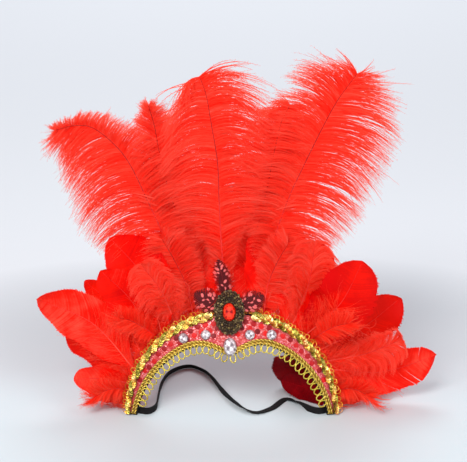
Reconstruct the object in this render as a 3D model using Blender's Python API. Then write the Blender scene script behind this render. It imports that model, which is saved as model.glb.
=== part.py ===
"""Carnival feather headdress.

A stiff felt crescent stands on its two ends like an arch. Cloth, gold braid, sequins, cut stones
and a brooch cover its face. A fan of ostrich plumes and two side clusters of goose feathers are
held at its back, and a flat elastic strap joins its ends. The lowest feathers rest on the ground
behind the band, so the headdress stands by itself.

Metres, +Z up, +X to the wearer's left as seen from the front, +Y towards the back.
"""
import math

import bmesh
import bpy
import numpy as np

# Band: a crescent on a shallow cone, outer edge round, inner edge with a widow's peak
ARCH_RADIUS = 0.1055
BAND_WIDTH = 0.0275
BAND_WIDTH_END = 0.0105
PEAK_DEPTH = 0.0170
PEAK_HALF_WIDTH = 0.0300
MIDDLE_OFFSET = -0.0028
BAND_LEAN = math.radians(10.0)
BAND_FLARE = math.radians(18.0)
BASE_THICKNESS = 0.0020
COVER_THICKNESS = 0.0012
SEAT_GAP = 0.0003
BEHIND_BASE = -BASE_THICKNESS - SEAT_GAP
BAND_STEPS = 36

# Cloth cover: how far its edges stay inside the band's edges
COVER_TOP_MARGIN = 0.0042
COVER_END_SHARE = 0.965

# Lower gimp braid and its loop fringe
GIMP_WIDTH = 0.0056
GIMP_HEIGHT = 0.0018
GIMP_RIB = 0.0005
GIMP_END_SHARE = 0.975
LOOP_PITCH = 0.0068
LOOP_DROP = 0.0084
LOOP_HALF_WIDTH = 0.0027
LOOP_FOOT_HALF_WIDTH = 0.0013
LOOP_YARN = 0.0011
LOOP_END_SHARE = 0.93

# Upper trim: thin loops under the wavy sequin rows
TRIM_REACH = 0.0042
TRIM_SCALLOP = 0.0018
TRIM_PITCH = 0.0095
TRIM_THICKNESS = 0.0010
SEQUIN_ROW_WIDTH = 0.0072
SEQUIN_ROW_END_WIDTH = 0.0046
SEQUIN_WAVE = 0.0013
SEQUIN_WAVE_LENGTH = 0.0205
SEQUIN_THICKNESS = 0.0014
SEQUIN_START_ANGLE = math.radians(12.5)
SEQUIN_END_SHARE = 0.97

# Cut stones
ROUND_STONE = 0.0100
ROUND_STONE_HEIGHT = 0.0036
OVAL_STONE_WIDTH = 0.0130
OVAL_STONE_LENGTH = 0.0180
OVAL_STONE_HEIGHT = 0.0050
GIRDLE_HEIGHT = 0.0012
TABLE_SHARE = 0.55

# Brooch
BROOCH_WIDTH = 0.0285
BROOCH_LENGTH = 0.0430
BROOCH_HEIGHT = 0.0036
BROOCH_INSET = 0.0030
BROOCH_BEADS = 18
BEAD_RELIEF = 0.0006
BEZEL_WALL = 0.0013

# Spotted guinea-fowl feathers behind the brooch
GUINEA_THICKNESS = 0.0007

# Ostrich plumes: each stands in a layer of its own behind the band
PLUME_FRONT_CLEARANCE = 0.0100
PLUME_LAYER_STEP = 0.0056
PLUME_SWEEP = 0.0240
PLUME_CURL = 0.0160
PLUME_CURL_HEIGHT = 0.2400
PLUME_SHORT = 0.1500
TUFT_LEAN = 0.37
PLUME_THICKNESS = 0.0026
PLUME_EDGE_THICKNESS = 0.0012
QUILL_WIDTH = 0.0026
PLUME_SEAT = 0.0080
PLUME_LIP = 0.0030
LOCK_NOTCH = 0.70

# Goose feathers and down
GOOSE_THICKNESS = 0.0010
GOOSE_QUILL = 0.0022
GOOSE_CUP = 0.10
GOOSE_SETBACK = 0.0032
FOOT_CLEARANCE = 0.0001
FOOT_SEAT = 0.0006

# Elastic strap
STRAP_WIDTH = 0.0073
STRAP_THICKNESS = 0.0010

# Clear round stones, as (name, angle from the middle in degrees, gap to the lower braid)
ROUND_STONES = (
    ("stone_round_1", -31.5, 0.0004),
    ("stone_round_2", -17.5, 0.0018),
    ("stone_round_3", 12.0, 0.0022),
    ("stone_round_4", 25.5, 0.0004),
)


# Colours and finishes: (red, green, blue), roughness, metallic
FINISHES = {
    "felt": ((0.015, 0.013, 0.013), 0.9, 0.0),
    "cover_cloth": ((0.52, 0.06, 0.08), 0.6, 0.0),
    "gold_braid": ((0.72, 0.47, 0.08), 0.35, 0.8),
    "gold_sequin": ((0.85, 0.62, 0.14), 0.2, 1.0),
    "clear_stone": ((0.86, 0.87, 0.9), 0.05, 0.0),
    "red_stone": ((0.75, 0.02, 0.01), 0.05, 0.0),
    "bronze_bead": ((0.09, 0.07, 0.03), 0.3, 0.6),
    "guinea_feather": ((0.10, 0.03, 0.03), 0.7, 0.0),
    "ostrich_feather": ((0.90, 0.03, 0.01), 0.7, 0.0),
    "goose_feather": ((0.80, 0.01, 0.005), 0.55, 0.0),
    "down": ((0.85, 0.02, 0.01), 0.8, 0.0),
    "elastic": ((0.012, 0.011, 0.012), 0.8, 0.0),
}


def material(name):
    """Return the named finish as a Principled material, made the first time it is asked for."""
    found = bpy.data.materials.get(name)
    if found:
        return found
    colour, roughness, metallic = FINISHES[name]
    made = bpy.data.materials.new(name)
    made.use_nodes = True
    shader = made.node_tree.nodes["Principled BSDF"]
    shader.inputs["Base Color"].default_value = (*colour, 1.0)
    shader.inputs["Roughness"].default_value = roughness
    shader.inputs["Metallic"].default_value = metallic
    return made


def add_object(name, points, faces, finish, smooth_angle=35.0):
    """Make one object from points and faces, with its faces turned outwards."""
    mesh = bpy.data.meshes.new(name)
    mesh.from_pydata([tuple(p) for p in points], [], [tuple(f) for f in faces])
    work = bmesh.new()
    work.from_mesh(mesh)
    bmesh.ops.recalc_face_normals(work, faces=work.faces)
    work.to_mesh(mesh)
    work.free()
    mesh.shade_smooth()
    mesh.set_sharp_from_angle(angle=math.radians(smooth_angle))
    made = bpy.data.objects.new(name, mesh)
    made.data.materials.append(material(finish))
    bpy.context.collection.objects.link(made)
    return made


def loft(name, rings, finish, smooth_angle=35.0):
    """Skin closed rings, an array of (ring, point, xyz), and cap both ends."""
    count, around = rings.shape[:2]
    faces = []
    for i in range(count - 1):
        for j in range(around):
            k = (j + 1) % around
            faces.append((i * around + j, i * around + k, (i + 1) * around + k, (i + 1) * around + j))
    faces.append(tuple(range(around)))
    faces.append(tuple((count - 1) * around + j for j in reversed(range(around))))
    return add_object(name, rings.reshape(-1, 3), faces, finish, smooth_angle)


def plate(name, front, back, finish, smooth_angle=60.0):
    """Close two grids of the same shape, (row, column, xyz), into one thin body."""
    rows, columns = front.shape[:2]
    half = rows * columns
    faces = []
    for i in range(rows - 1):
        for j in range(columns - 1):
            a = i * columns + j
            faces.append((a, a + 1, a + columns + 1, a + columns))
            faces.append((half + a, half + a + columns, half + a + columns + 1, half + a + 1))
    border = [j for j in range(columns)]
    border += [i * columns + columns - 1 for i in range(1, rows)]
    border += [(rows - 1) * columns + j for j in range(columns - 2, -1, -1)]
    border += [i * columns for i in range(rows - 2, 0, -1)]
    for a, b in zip(border, border[1:] + border[:1]):
        faces.append((b, a, half + a, half + b))
    points = np.concatenate([front.reshape(-1, 3), back.reshape(-1, 3)])
    return add_object(name, points, faces, finish, smooth_angle)


def unit(vectors):
    """Scale vectors to length one."""
    return vectors / np.linalg.norm(vectors, axis=-1, keepdims=True)


def smooth_path(points, count):
    """Pass a Catmull-Rom curve through the points and return evenly spaced points on it."""
    p = np.asarray(points, float)
    p = np.vstack([2 * p[0] - p[1], p, 2 * p[-1] - p[-2]])
    t = np.linspace(0.0, 1.0, 17)[:, None]
    dense = []
    for a, b, c, d in zip(p, p[1:], p[2:], p[3:]):
        dense.append(0.5 * (2 * b + (c - a) * t + (2 * a - 5 * b + 4 * c - d) * t ** 2
                            + (3 * b - a - 3 * c + d) * t ** 3))
    dense = np.vstack(dense)
    length = np.concatenate([[0.0], np.cumsum(np.linalg.norm(np.diff(dense, axis=0), axis=1))])
    keep = np.concatenate([[True], np.diff(length) > 0])
    wanted = np.linspace(0.0, length[-1], count)
    return np.stack([np.interp(wanted, length[keep], dense[keep, i]) for i in range(3)], axis=1)


def band_width(angle):
    """Width of the band's face at an angle from the top: a crescent with a bell-shaped peak."""
    across = ARCH_RADIUS * np.sin(angle) - MIDDLE_OFFSET
    crescent = BAND_WIDTH_END + (BAND_WIDTH - BAND_WIDTH_END) * np.maximum(np.cos(angle), 0.0)
    return crescent + PEAK_DEPTH * np.exp(-(across / PEAK_HALF_WIDTH) ** 2)


def band_point(angle, inset, rise):
    """Place a point on the band: angle from the top, distance in from the outer edge, and height
    above the base's face. The face is a cone whose inner edge stands forward, leaning back."""
    angle, inset, rise = np.broadcast_arrays(angle, inset, rise)
    radius = ARCH_RADIUS - inset * math.cos(BAND_FLARE) + rise * math.sin(BAND_FLARE)
    forward = inset * math.sin(BAND_FLARE) + rise * math.cos(BAND_FLARE)
    up = radius * np.cos(angle)
    return np.stack([
        radius * np.sin(angle),
        up * math.sin(BAND_LEAN) - forward * math.cos(BAND_LEAN),
        up * math.cos(BAND_LEAN) + forward * math.sin(BAND_LEAN)], axis=-1)


def end_angle(inset, rise):
    """Angle at which a line along the band meets the ground."""
    radius = ARCH_RADIUS - inset * math.cos(BAND_FLARE) + rise * math.sin(BAND_FLARE)
    forward = inset * math.sin(BAND_FLARE) + rise * math.cos(BAND_FLARE)
    return math.acos(-math.tan(BAND_LEAN) * forward / radius)


def band_frame(angle):
    """Directions on the band's face at an angle: along it, down its width, and out of it."""
    step = 1e-4
    here = band_point(angle, 0.0, 0.0)
    along = unit(band_point(angle + step, 0.0, 0.0) - here)
    down = unit(band_point(angle, step, 0.0) - here)
    out = unit(band_point(angle, 0.0, step) - here)
    return along, down, out


def band_angles(count, share=1.0):
    """Even shares of the band's run from end to end, for a line along its outer edge."""
    return np.linspace(-share, share, count)


def band_strip(name, shares, insets, rises, finish):
    """Loft a strip that lies along the band. Each section point has an inset and a rise, given as
    functions of the angle, and the strip's own end angle keeps its ends level with the ground."""
    rings = []
    for inset_of, rise in zip(insets, rises):
        last = end_angle(float(inset_of(np.array(math.pi / 2))), rise)
        angle = shares * last
        rings.append(band_point(angle, inset_of(angle), rise))
    return loft(name, np.stack(rings, axis=1), finish)


def build_band_base():
    """Black felt crescent. Its edges show a little beyond the cloth and the braid."""
    lip = 0.0006
    outer = lambda angle: 0.0012 + 0.0 * angle
    inner = lambda angle: band_width(angle) + lip
    return band_strip("band_base", band_angles(BAND_STEPS + 1), (outer, inner, inner, outer),
                      (0.0, 0.0, -BASE_THICKNESS, -BASE_THICKNESS), "felt")


def build_band_cover():
    """Cloth on the base's face, from under the sequins to under the lower braid."""
    low = SEAT_GAP
    high = SEAT_GAP + COVER_THICKNESS
    outer = lambda angle: COVER_TOP_MARGIN + 0.0 * angle
    inner = lambda angle: band_width(angle) - 0.0008
    return band_strip("band_cover", band_angles(BAND_STEPS + 1, COVER_END_SHARE),
                      (outer, inner, inner, outer), (high, high, low, low), "cover_cloth")


COVER_TOP = SEAT_GAP + COVER_THICKNESS
ON_COVER = COVER_TOP + SEAT_GAP
GIMP_TOP = ON_COVER + GIMP_HEIGHT


def gimp_width(angle):
    """The braid narrows a little towards the band's ends."""
    return GIMP_WIDTH * (0.78 + 0.22 * np.maximum(np.cos(angle), 0.0))


def lower_edge_angles(share):
    """Angles at even steps of LOOP_PITCH along the band's lower edge, centred on the peak."""
    dense = np.linspace(-share * math.pi / 2, share * math.pi / 2, 2001)
    line = band_point(dense, band_width(dense), 0.0)
    length = np.concatenate([[0.0], np.cumsum(np.linalg.norm(np.diff(line, axis=0), axis=1))])
    count = int(round(length[-1] / LOOP_PITCH))
    return np.interp((np.arange(count) + 0.5) * length[-1] / count, length, dense)


def fringe_loop(angle):
    """Rings of one open yarn loop that hangs from the braid's lower edge, feet inside the braid."""
    centre_rise = ON_COVER + 0.5 * GIMP_HEIGHT
    inset = float(band_width(np.array(angle)))
    step = 0.01
    before = band_point(angle - step, band_width(np.array(angle - step)), centre_rise)
    after = band_point(angle + step, band_width(np.array(angle + step)), centre_rise)
    along = unit(after - before)
    out = band_frame(angle)[2]
    down = unit(np.cross(along, out))
    if np.dot(down, band_frame(angle)[1]) < 0:
        down = -down
    edge = band_point(angle, inset, centre_rise)
    shape = (
        (-LOOP_FOOT_HALF_WIDTH, -0.12), (-0.90 * LOOP_HALF_WIDTH, 0.22),
        (-0.96 * LOOP_HALF_WIDTH, 0.62), (-0.50 * LOOP_HALF_WIDTH, 0.95),
        (0.50 * LOOP_HALF_WIDTH, 0.95), (0.96 * LOOP_HALF_WIDTH, 0.62),
        (0.90 * LOOP_HALF_WIDTH, 0.22), (LOOP_FOOT_HALF_WIDTH, -0.12))
    path = np.array([edge + x * along + y * LOOP_DROP * down for x, y in shape])
    tangent = unit(np.gradient(path, axis=0))
    side = unit(np.cross(tangent, out))
    turn = np.linspace(0.0, 2 * math.pi, 4, endpoint=False)[None, :, None]
    radius = 0.5 * LOOP_YARN
    return path[:, None] + radius * (np.cos(turn) * side[:, None] + np.sin(turn) * out)


def build_lower_gimp():
    """Ribbed gold braid along the lower edge, with its loops fused to it."""
    ribs = ((0.0, 0), (0.25, 1), (0.5, 0), (0.75, 1), (1.0, 0))
    insets = []
    rises = []
    for share, high in ribs:
        insets.append(lambda angle, s=share: band_width(angle) - (1 - s) * gimp_width(angle))
        rises.append(GIMP_TOP - GIMP_RIB * (1 - high))
    insets += [insets[-1], insets[0]]
    rises += [ON_COVER, ON_COVER]
    braid = band_strip("lower_gimp", band_angles(BAND_STEPS + 1, GIMP_END_SHARE), insets, rises,
                       "gold_braid")
    work = bmesh.new()
    for angle in lower_edge_angles(LOOP_END_SHARE):
        rings = fringe_loop(float(angle))
        grid = [[work.verts.new(p) for p in ring] for ring in rings]
        around = len(grid[0])
        for low, high in zip(grid, grid[1:]):
            for j in range(around):
                work.faces.new((low[j], low[(j + 1) % around], high[(j + 1) % around], high[j]))
        work.faces.new(grid[0][::-1])
        work.faces.new(grid[-1])
    bmesh.ops.recalc_face_normals(work, faces=work.faces)
    loops_mesh = bpy.data.meshes.new("loops")
    work.to_mesh(loops_mesh)
    work.free()
    loops = bpy.data.objects.new("loops", loops_mesh)
    bpy.context.collection.objects.link(loops)
    fuse(braid, loops)
    return braid


def fuse(body, other):
    """Unite another object into the body and remove it."""
    union = body.modifiers.new("fuse", "BOOLEAN")
    union.operation = "UNION"
    union.object = other
    bpy.context.view_layer.update()
    evaluated = body.evaluated_get(bpy.context.evaluated_depsgraph_get())
    merged = bpy.data.meshes.new_from_object(evaluated)
    body.modifiers.remove(union)
    old = body.data
    body.data = merged
    merged.name = body.name
    bpy.data.meshes.remove(old)
    bpy.data.objects.remove(other)


def build_upper_loops():
    """Thin scalloped trim that shows beyond the sequin rows, on the base's outer edge."""
    steps = 2 * int(round(math.pi * ARCH_RADIUS * COVER_END_SHARE / TRIM_PITCH))
    shares = band_angles(steps + 1, COVER_END_SHARE)
    inner = lambda angle: COVER_TOP_MARGIN - SEAT_GAP + 0.0 * angle
    scallop = TRIM_SCALLOP * (np.arange(steps + 1) % 2)
    outer = lambda angle: -TRIM_REACH + (scallop if np.ndim(angle) else 0.0)
    low = SEAT_GAP
    high = SEAT_GAP + TRIM_THICKNESS
    return band_strip("upper_loops", shares, (outer, inner, inner, outer), (high, high, low, low),
                      "gold_braid")


def build_sequin_row(name, side):
    """One wavy row of overlapping sequins, from beside the brooch to the band's end."""
    last = SEQUIN_END_SHARE * math.pi / 2
    run = ARCH_RADIUS * (last - SEQUIN_START_ANGLE)
    steps = int(round(5 * run / SEQUIN_WAVE_LENGTH))
    angle = np.linspace(SEQUIN_START_ANGLE, last, steps + 1)
    wave = SEQUIN_WAVE * np.sin(2 * math.pi * ARCH_RADIUS * (angle - SEQUIN_START_ANGLE)
                                / SEQUIN_WAVE_LENGTH)
    fade = (angle - SEQUIN_START_ANGLE) / (last - SEQUIN_START_ANGLE)
    width = SEQUIN_ROW_WIDTH + (SEQUIN_ROW_END_WIDTH - SEQUIN_ROW_WIDTH) * fade
    middle = 0.5 * width + SEQUIN_WAVE * 0.6 + wave * (1 - 0.5 * fade)
    low = ON_COVER
    high = ON_COVER + SEQUIN_THICKNESS
    crown = high + 0.5 * SEQUIN_THICKNESS
    angle = side * angle
    rings = np.stack([
        band_point(angle, middle - 0.5 * width, high),
        band_point(angle, middle, crown),
        band_point(angle, middle + 0.5 * width, high),
        band_point(angle, middle + 0.5 * width, low),
        band_point(angle, middle - 0.5 * width, low)], axis=1)
    return loft(name, rings, "gold_sequin")


def cut_stone(name, centre, along, down, out, size, height, sides, finish):
    """A cut stone with a flat back, an upright girdle, a ring of crown facets and a table."""
    turn = np.linspace(0.0, 2 * math.pi, sides, endpoint=False)

    def ring(share, lift, shift):
        x = share * 0.5 * size[0] * np.cos(turn + shift)
        y = share * 0.5 * size[1] * np.sin(turn + shift)
        return centre + np.outer(x, along) + np.outer(y, down) + lift * out

    half_step = math.pi / sides
    base = ring(1.0, 0.0, 0.0)
    girdle = ring(1.0, GIRDLE_HEIGHT, 0.0)
    table = ring(TABLE_SHARE, height, half_step)
    faces = [tuple(range(sides)), tuple(2 * sides + j for j in range(sides))]
    for j in range(sides):
        k = (j + 1) % sides
        faces.append((j, k, sides + k, sides + j))
        faces.append((sides + j, sides + k, 2 * sides + j))
        faces.append((sides + k, 2 * sides + k, 2 * sides + j))
    return add_object(name, np.vstack([base, girdle, table]), faces, finish, 5.0)


def middle_angle():
    """Angle of the brooch and the peak, which sit a little to one side of the top."""
    return math.asin(MIDDLE_OFFSET / ARCH_RADIUS)


def build_stones():
    """Four round stones on the cloth and an oval one on the peak's braid."""
    for name, degrees, gap in ROUND_STONES:
        angle = math.radians(degrees)
        along, down, out = band_frame(angle)
        braid_edge = float(band_width(np.array(angle)) - gimp_width(angle))
        inset = braid_edge - gap - 0.5 * ROUND_STONE
        centre = band_point(angle, inset, ON_COVER)
        cut_stone(name, centre, along, down, out, (ROUND_STONE, ROUND_STONE), ROUND_STONE_HEIGHT,
                  10, "clear_stone")
    angle = middle_angle()
    along, down, out = band_frame(angle)
    inset = float(band_width(np.array(angle))) - 0.42 * OVAL_STONE_LENGTH
    centre = band_point(angle, inset, GIMP_TOP + SEAT_GAP)
    cut_stone("stone_oval", centre, along, down, out, (OVAL_STONE_WIDTH, OVAL_STONE_LENGTH),
              OVAL_STONE_HEIGHT, 12, "clear_stone")


BROOCH_RISE = ON_COVER + 3 * (GUINEA_THICKNESS + SEAT_GAP)


def build_brooch():
    """Oval frame of beads round a red cut stone. Rings of bumps stand for the bead rows."""
    angle = middle_angle()
    along, down, out = band_frame(angle)
    centre = band_point(angle, BROOCH_INSET, BROOCH_RISE)
    sides = 2 * BROOCH_BEADS
    turn = np.linspace(0.0, 2 * math.pi, sides, endpoint=False)
    bump = BEAD_RELIEF * (np.arange(sides) % 2)
    seat_x = 0.5 * OVAL_STONE_WIDTH + SEAT_GAP
    seat_y = 0.5 * OVAL_STONE_LENGTH + SEAT_GAP
    edge_x = 0.5 * BROOCH_WIDTH
    edge_y = 0.5 * BROOCH_LENGTH
    floor_lift = 0.0010

    def ring(x, y, lift, beads):
        dx = (x - beads * bump) * np.cos(turn)
        dy = (y - beads * bump) * np.sin(turn)
        return centre + np.outer(dx, along) + np.outer(dy, down) + lift * out

    wall = BEZEL_WALL
    rings = np.stack([
        ring(edge_x - wall, edge_y - wall, 0.0, 0),
        ring(edge_x, edge_y, 0.35 * BROOCH_HEIGHT, 1),
        ring(edge_x - wall, edge_y - wall, 0.7 * BROOCH_HEIGHT, 1),
        ring(0.5 * (edge_x + seat_x), 0.5 * (edge_y + seat_y), BROOCH_HEIGHT, -1),
        ring(seat_x + wall, seat_y + wall, 0.75 * BROOCH_HEIGHT, 0),
        ring(seat_x, seat_y, BROOCH_HEIGHT, 0),
        ring(seat_x, seat_y, floor_lift, 0)])
    loft("brooch_frame", rings, "bronze_bead")
    cut_stone("brooch_stone", centre + (floor_lift + SEAT_GAP) * out, along, down, out,
              (OVAL_STONE_WIDTH, OVAL_STONE_LENGTH), OVAL_STONE_HEIGHT, 12, "red_stone")


# Leaf-shaped vane: half width along the feather, as (share of length, share of half width)
GOOSE_VANE = ((0.0, 0.05), (0.14, 0.05), (0.24, 0.42), (0.42, 0.82), (0.62, 1.0), (0.80, 0.94),
              (0.92, 0.66), (1.0, 0.14))
GUINEA_VANE = ((0.0, 0.25), (0.25, 0.55), (0.5, 0.95), (0.72, 1.0), (0.9, 0.6), (1.0, 0.1))


def leaf_feather(name, path, face, width, vane, cup, thickness, quill, finish, stands=False):
    """A leaf-shaped feather: its centre line, a face direction to which the vane is turned, and
    edges that cup forwards. The quill end is as thick as the quill. One that stands is sheared
    up along its length until its lowest point just meets the ground."""
    shares = np.array([row[0] for row in vane])
    half = 0.5 * width * np.array([row[1] for row in vane])
    half = np.maximum(half, 0.5 * quill * (shares < 0.2))
    dense = smooth_path(path, 33)
    spine = np.stack([np.interp(shares, np.linspace(0, 1, 33), dense[:, i]) for i in range(3)], 1)
    tangent = unit(np.gradient(spine, axis=0))
    side = unit(np.cross(tangent, face))
    normal = unit(np.cross(side, tangent))
    across = np.array([-1.0, 0.0, 1.0])
    offset = side[:, None] * (half[:, None] * across)[:, :, None]
    bend = -normal[:, None] * (cup * half[:, None] * across ** 2)[:, :, None]
    front = spine[:, None] + offset + bend
    depth = np.where(shares < 0.2, quill, thickness)[:, None, None]
    back = front + depth * normal[:, None]
    if stands:
        for _ in range(8):
            lowest = min(front[..., 2].min(), back[..., 2].min())
            lift = (FOOT_CLEARANCE - lowest) * shares[:, None]
            front[..., 2] += lift
            back[..., 2] += lift
    return plate(name, front, back, finish)


def build_guinea_feathers():
    """Three spotted feathers fanned behind the brooch, each a layer further back. The top one
    follows the band's slope as far as the brooch does and then stands upright."""
    angle = middle_angle()
    rows = (
        # name, side reach, reach up the band's slope, reach straight up, width, layer
        ("guinea_left", -0.0340, 0.0200, 0.0, 0.0220, 0),
        ("guinea_right", 0.0350, 0.0160, 0.0, 0.0200, 1),
        ("guinea_top", -0.0100, 0.0240, 0.0310, 0.0150, 2),
    )
    along, down, out = band_frame(angle)
    for name, side_reach, slope_reach, up_reach, width, layer in rows:
        rise = ON_COVER + (2 - layer) * (GUINEA_THICKNESS + SEAT_GAP)
        root = band_point(angle, BROOCH_INSET, rise + GUINEA_THICKNESS)
        bend = root + 0.4 * side_reach * along - slope_reach * down
        tip = root + side_reach * along - slope_reach * down + np.array([0.0, 0.0, up_reach])
        face = -out
        path = (root, bend, tip) if up_reach else (root, 0.5 * (root + tip), tip)
        leaf_feather(name, path, face, width, GUINEA_VANE, 0.0, GUINEA_THICKNESS,
                     GUINEA_THICKNESS, "guinea_feather")


# Ostrich plumes and down tufts: where each is rooted on the band, its length, its barbs' length,
# its layer, the line of its quill and the reach of its barbs, as shares of those lengths.
# Each row of barbs holds: along, left across, left up, right across, right up.
PLUMES = {
    "plume_centre": dict(
        root=-3.0, length=0.235, barb=0.062, layer=1,
        quill=((0.0, 0.0), (-0.02, 0.25), (-0.03, 0.47), (-0.035, 0.62), (-0.06, 0.79),
               (-0.08, 0.91), (-0.105, 0.985)),
        barbs=((0.18, -0.25, -0.05, 0.25, 0.0), (0.35, -0.70, 0.0, 0.62, 0.05),
               (0.60, -0.88, -0.22, 0.85, -0.05), (0.80, -0.82, -0.45, 0.92, -0.18),
               (0.93, -0.56, -0.55, 0.98, -0.24), (1.0, -0.26, -0.50, 0.78, 0.10))),
    "plume_left": dict(
        root=-16.0, length=0.243, barb=0.072, layer=2,
        quill=((0.0, 0.0), (-0.12, 0.22), (-0.21, 0.43), (-0.30, 0.63), (-0.41, 0.745),
               (-0.49, 0.765), (-0.575, 0.745)),
        barbs=((0.16, -0.42, -0.02, 0.25, 0.2), (0.35, -0.84, -0.38, 0.50, 0.25),
               (0.55, -0.90, -0.58, 0.52, 0.42), (0.75, -0.72, -0.58, 0.22, 0.42),
               (0.90, -0.36, -0.50, 0.02, 0.26), (1.0, -0.14, -0.12, -0.10, 0.06))),
    "plume_right": dict(
        root=11.0, length=0.246, barb=0.074, layer=2,
        quill=((0.0, 0.0), (0.075, 0.24), (0.14, 0.44), (0.19, 0.56), (0.27, 0.74),
               (0.325, 0.85), (0.395, 0.955)),
        barbs=((0.16, -0.20, 0.1, 0.45, 0.0), (0.35, -0.50, 0.12, 0.86, -0.30),
               (0.60, -0.62, 0.22, 0.98, -0.52), (0.80, -0.66, 0.36, 0.96, -0.34),
               (0.92, -0.62, 0.44, 0.68, -0.10), (1.0, -0.20, 0.18, 0.26, 0.05))),
    "plume_mid_left": dict(
        root=-8.0, length=0.212, barb=0.056, layer=3,
        quill=((0.0, 0.0), (-0.13, 0.27), (-0.22, 0.54), (-0.26, 0.72), (-0.28, 0.85),
               (-0.305, 0.95)),
        barbs=((0.20, -0.40, 0.1, 0.30, 0.2), (0.45, -0.72, 0.15, 0.62, 0.25),
               (0.70, -0.60, 0.25, 0.60, 0.30), (0.88, -0.36, 0.20, 0.38, 0.22),
               (1.0, -0.08, 0.10, 0.08, 0.08))),
    "plume_mid_right": dict(
        root=3.5, length=0.205, barb=0.058, layer=3,
        quill=((0.0, 0.0), (0.07, 0.28), (0.13, 0.54), (0.17, 0.76), (0.20, 0.90),
               (0.24, 0.98)),
        barbs=((0.20, -0.30, 0.1, 0.40, 0.1), (0.45, -0.60, 0.12, 0.66, 0.10),
               (0.70, -0.66, 0.10, 0.68, 0.05), (0.88, -0.60, 0.05, 0.52, -0.05),
               (1.0, -0.26, 0.05, 0.26, -0.05))),
    "plume_short_left": dict(
        root=-21.0, length=0.084, barb=0.044, layer=0,
        quill=((0.0, 0.0), (-0.08, 0.32), (-0.22, 0.64), (-0.36, 0.90)),
        barbs=((0.32, -0.62, -0.20, 0.40, 0.25), (0.55, -0.84, -0.24, 0.50, 0.42),
               (0.85, -0.66, -0.10, 0.36, 0.50), (1.0, -0.22, 0.12, 0.10, 0.26))),
    "plume_short_right": dict(
        root=17.0, length=0.074, barb=0.042, layer=0,
        quill=((0.0, 0.0), (0.06, 0.35), (0.18, 0.66), (0.32, 0.92)),
        barbs=((0.32, -0.30, 0.25, 0.72, -0.15), (0.55, -0.40, 0.42, 0.86, -0.05),
               (0.85, -0.30, 0.50, 0.66, 0.0), (1.0, -0.12, 0.26, 0.22, 0.12))),
    "fluff_left_upper": dict(
        root=-44.0, length=0.040, barb=0.026, layer=None,
        quill=((0.0, 0.0), (-0.30, 0.30), (-0.62, 0.55), (-0.90, 0.66)),
        barbs=((0.35, -0.55, -0.30, 0.15, 0.60), (0.65, -0.75, -0.20, 0.05, 0.75),
               (1.0, -0.55, 0.10, -0.20, 0.50))),
    "fluff_left_lower": dict(
        root=-78.0, length=0.032, barb=0.024, layer=None,
        quill=((0.0, 0.0), (-0.32, 0.12), (-0.65, 0.10), (-0.95, -0.05)),
        barbs=((0.35, -0.25, -0.62, -0.20, 0.60), (0.65, -0.55, -0.60, -0.45, 0.60),
               (1.0, -0.66, -0.30, -0.62, 0.22))),
    "fluff_right_upper": dict(
        root=47.0, length=0.040, barb=0.026, layer=None,
        quill=((0.0, 0.0), (0.30, 0.30), (0.62, 0.52), (0.90, 0.62)),
        barbs=((0.35, -0.15, 0.60, 0.55, -0.30), (0.65, -0.05, 0.75, 0.75, -0.20),
               (1.0, 0.20, 0.50, 0.55, 0.10))),
    "fluff_right_lower": dict(
        root=78.0, length=0.032, barb=0.024, layer=None,
        quill=((0.0, 0.0), (0.32, 0.12), (0.65, 0.10), (0.95, -0.05)),
        barbs=((0.35, 0.20, 0.60, 0.25, -0.62), (0.65, 0.45, 0.60, 0.55, -0.60),
               (1.0, 0.62, 0.22, 0.66, -0.30))),
}
LOCKS = 9
SHORT_LOCKS = 5
TUFT_LOCKS = 4


def fan_depth(across, height, plume, edge):
    """Distance back of a plume's points. A fan plume runs from behind the base to its own layer
    and leans forwards as it rises; a tuft of down leans forwards from the base's edge."""
    if plume["layer"] is None:
        return edge[1] - TUFT_LEAN * np.hypot(across - edge[0], height - edge[2])
    crown = ARCH_RADIUS * math.cos(BAND_LEAN)
    front = band_point(0.0, 0.0, -BASE_THICKNESS)[1] + PLUME_FRONT_CLEARANCE
    layer = front + plume["layer"] * PLUME_LAYER_STEP
    rise = np.clip((height - edge[2]) / PLUME_SWEEP, 0.0, 1.0)
    ease = rise * rise * (3 - 2 * rise)
    above = np.maximum(height - crown, 0.0)
    return edge[1] + (layer - edge[1]) * ease - PLUME_CURL * (above / PLUME_CURL_HEIGHT) ** 2


def plume_spine(plume, count):
    """Centre line of a quill: down behind the base, over its edge, then along the given line."""
    angle = math.radians(plume["root"])
    root = band_point(angle, PLUME_SEAT, BEHIND_BASE)
    edge = band_point(angle, -PLUME_LIP, BEHIND_BASE)
    length = plume["length"]
    points = [edge + length * np.array([across, 0.0, up]) for across, up in plume["quill"]]
    line = smooth_path(points, count)
    line[:, 1] = fan_depth(line[:, 0], line[:, 2], plume, edge)
    return np.vstack([root, line]), edge


def barb_curve(base, tangent, reach, side, share):
    """Point on a barb: it leaves the quill slantwise and bends over towards its tip, as a
    quadratic curve from the quill through a control point to the tip."""
    forward = unit(tangent * np.array([1.0, 0.0, 1.0]))
    outward = np.stack([forward[:, 2], np.zeros(len(base)), -forward[:, 0]], axis=1) * side
    launch = unit(forward + 1.1 * outward)
    control = base + 0.48 * np.linalg.norm(reach, axis=1, keepdims=True) * launch
    tip = base + reach
    t = share[:, None]
    return (1 - t) ** 2 * base + 2 * t * (1 - t) * control + t ** 2 * tip


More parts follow.
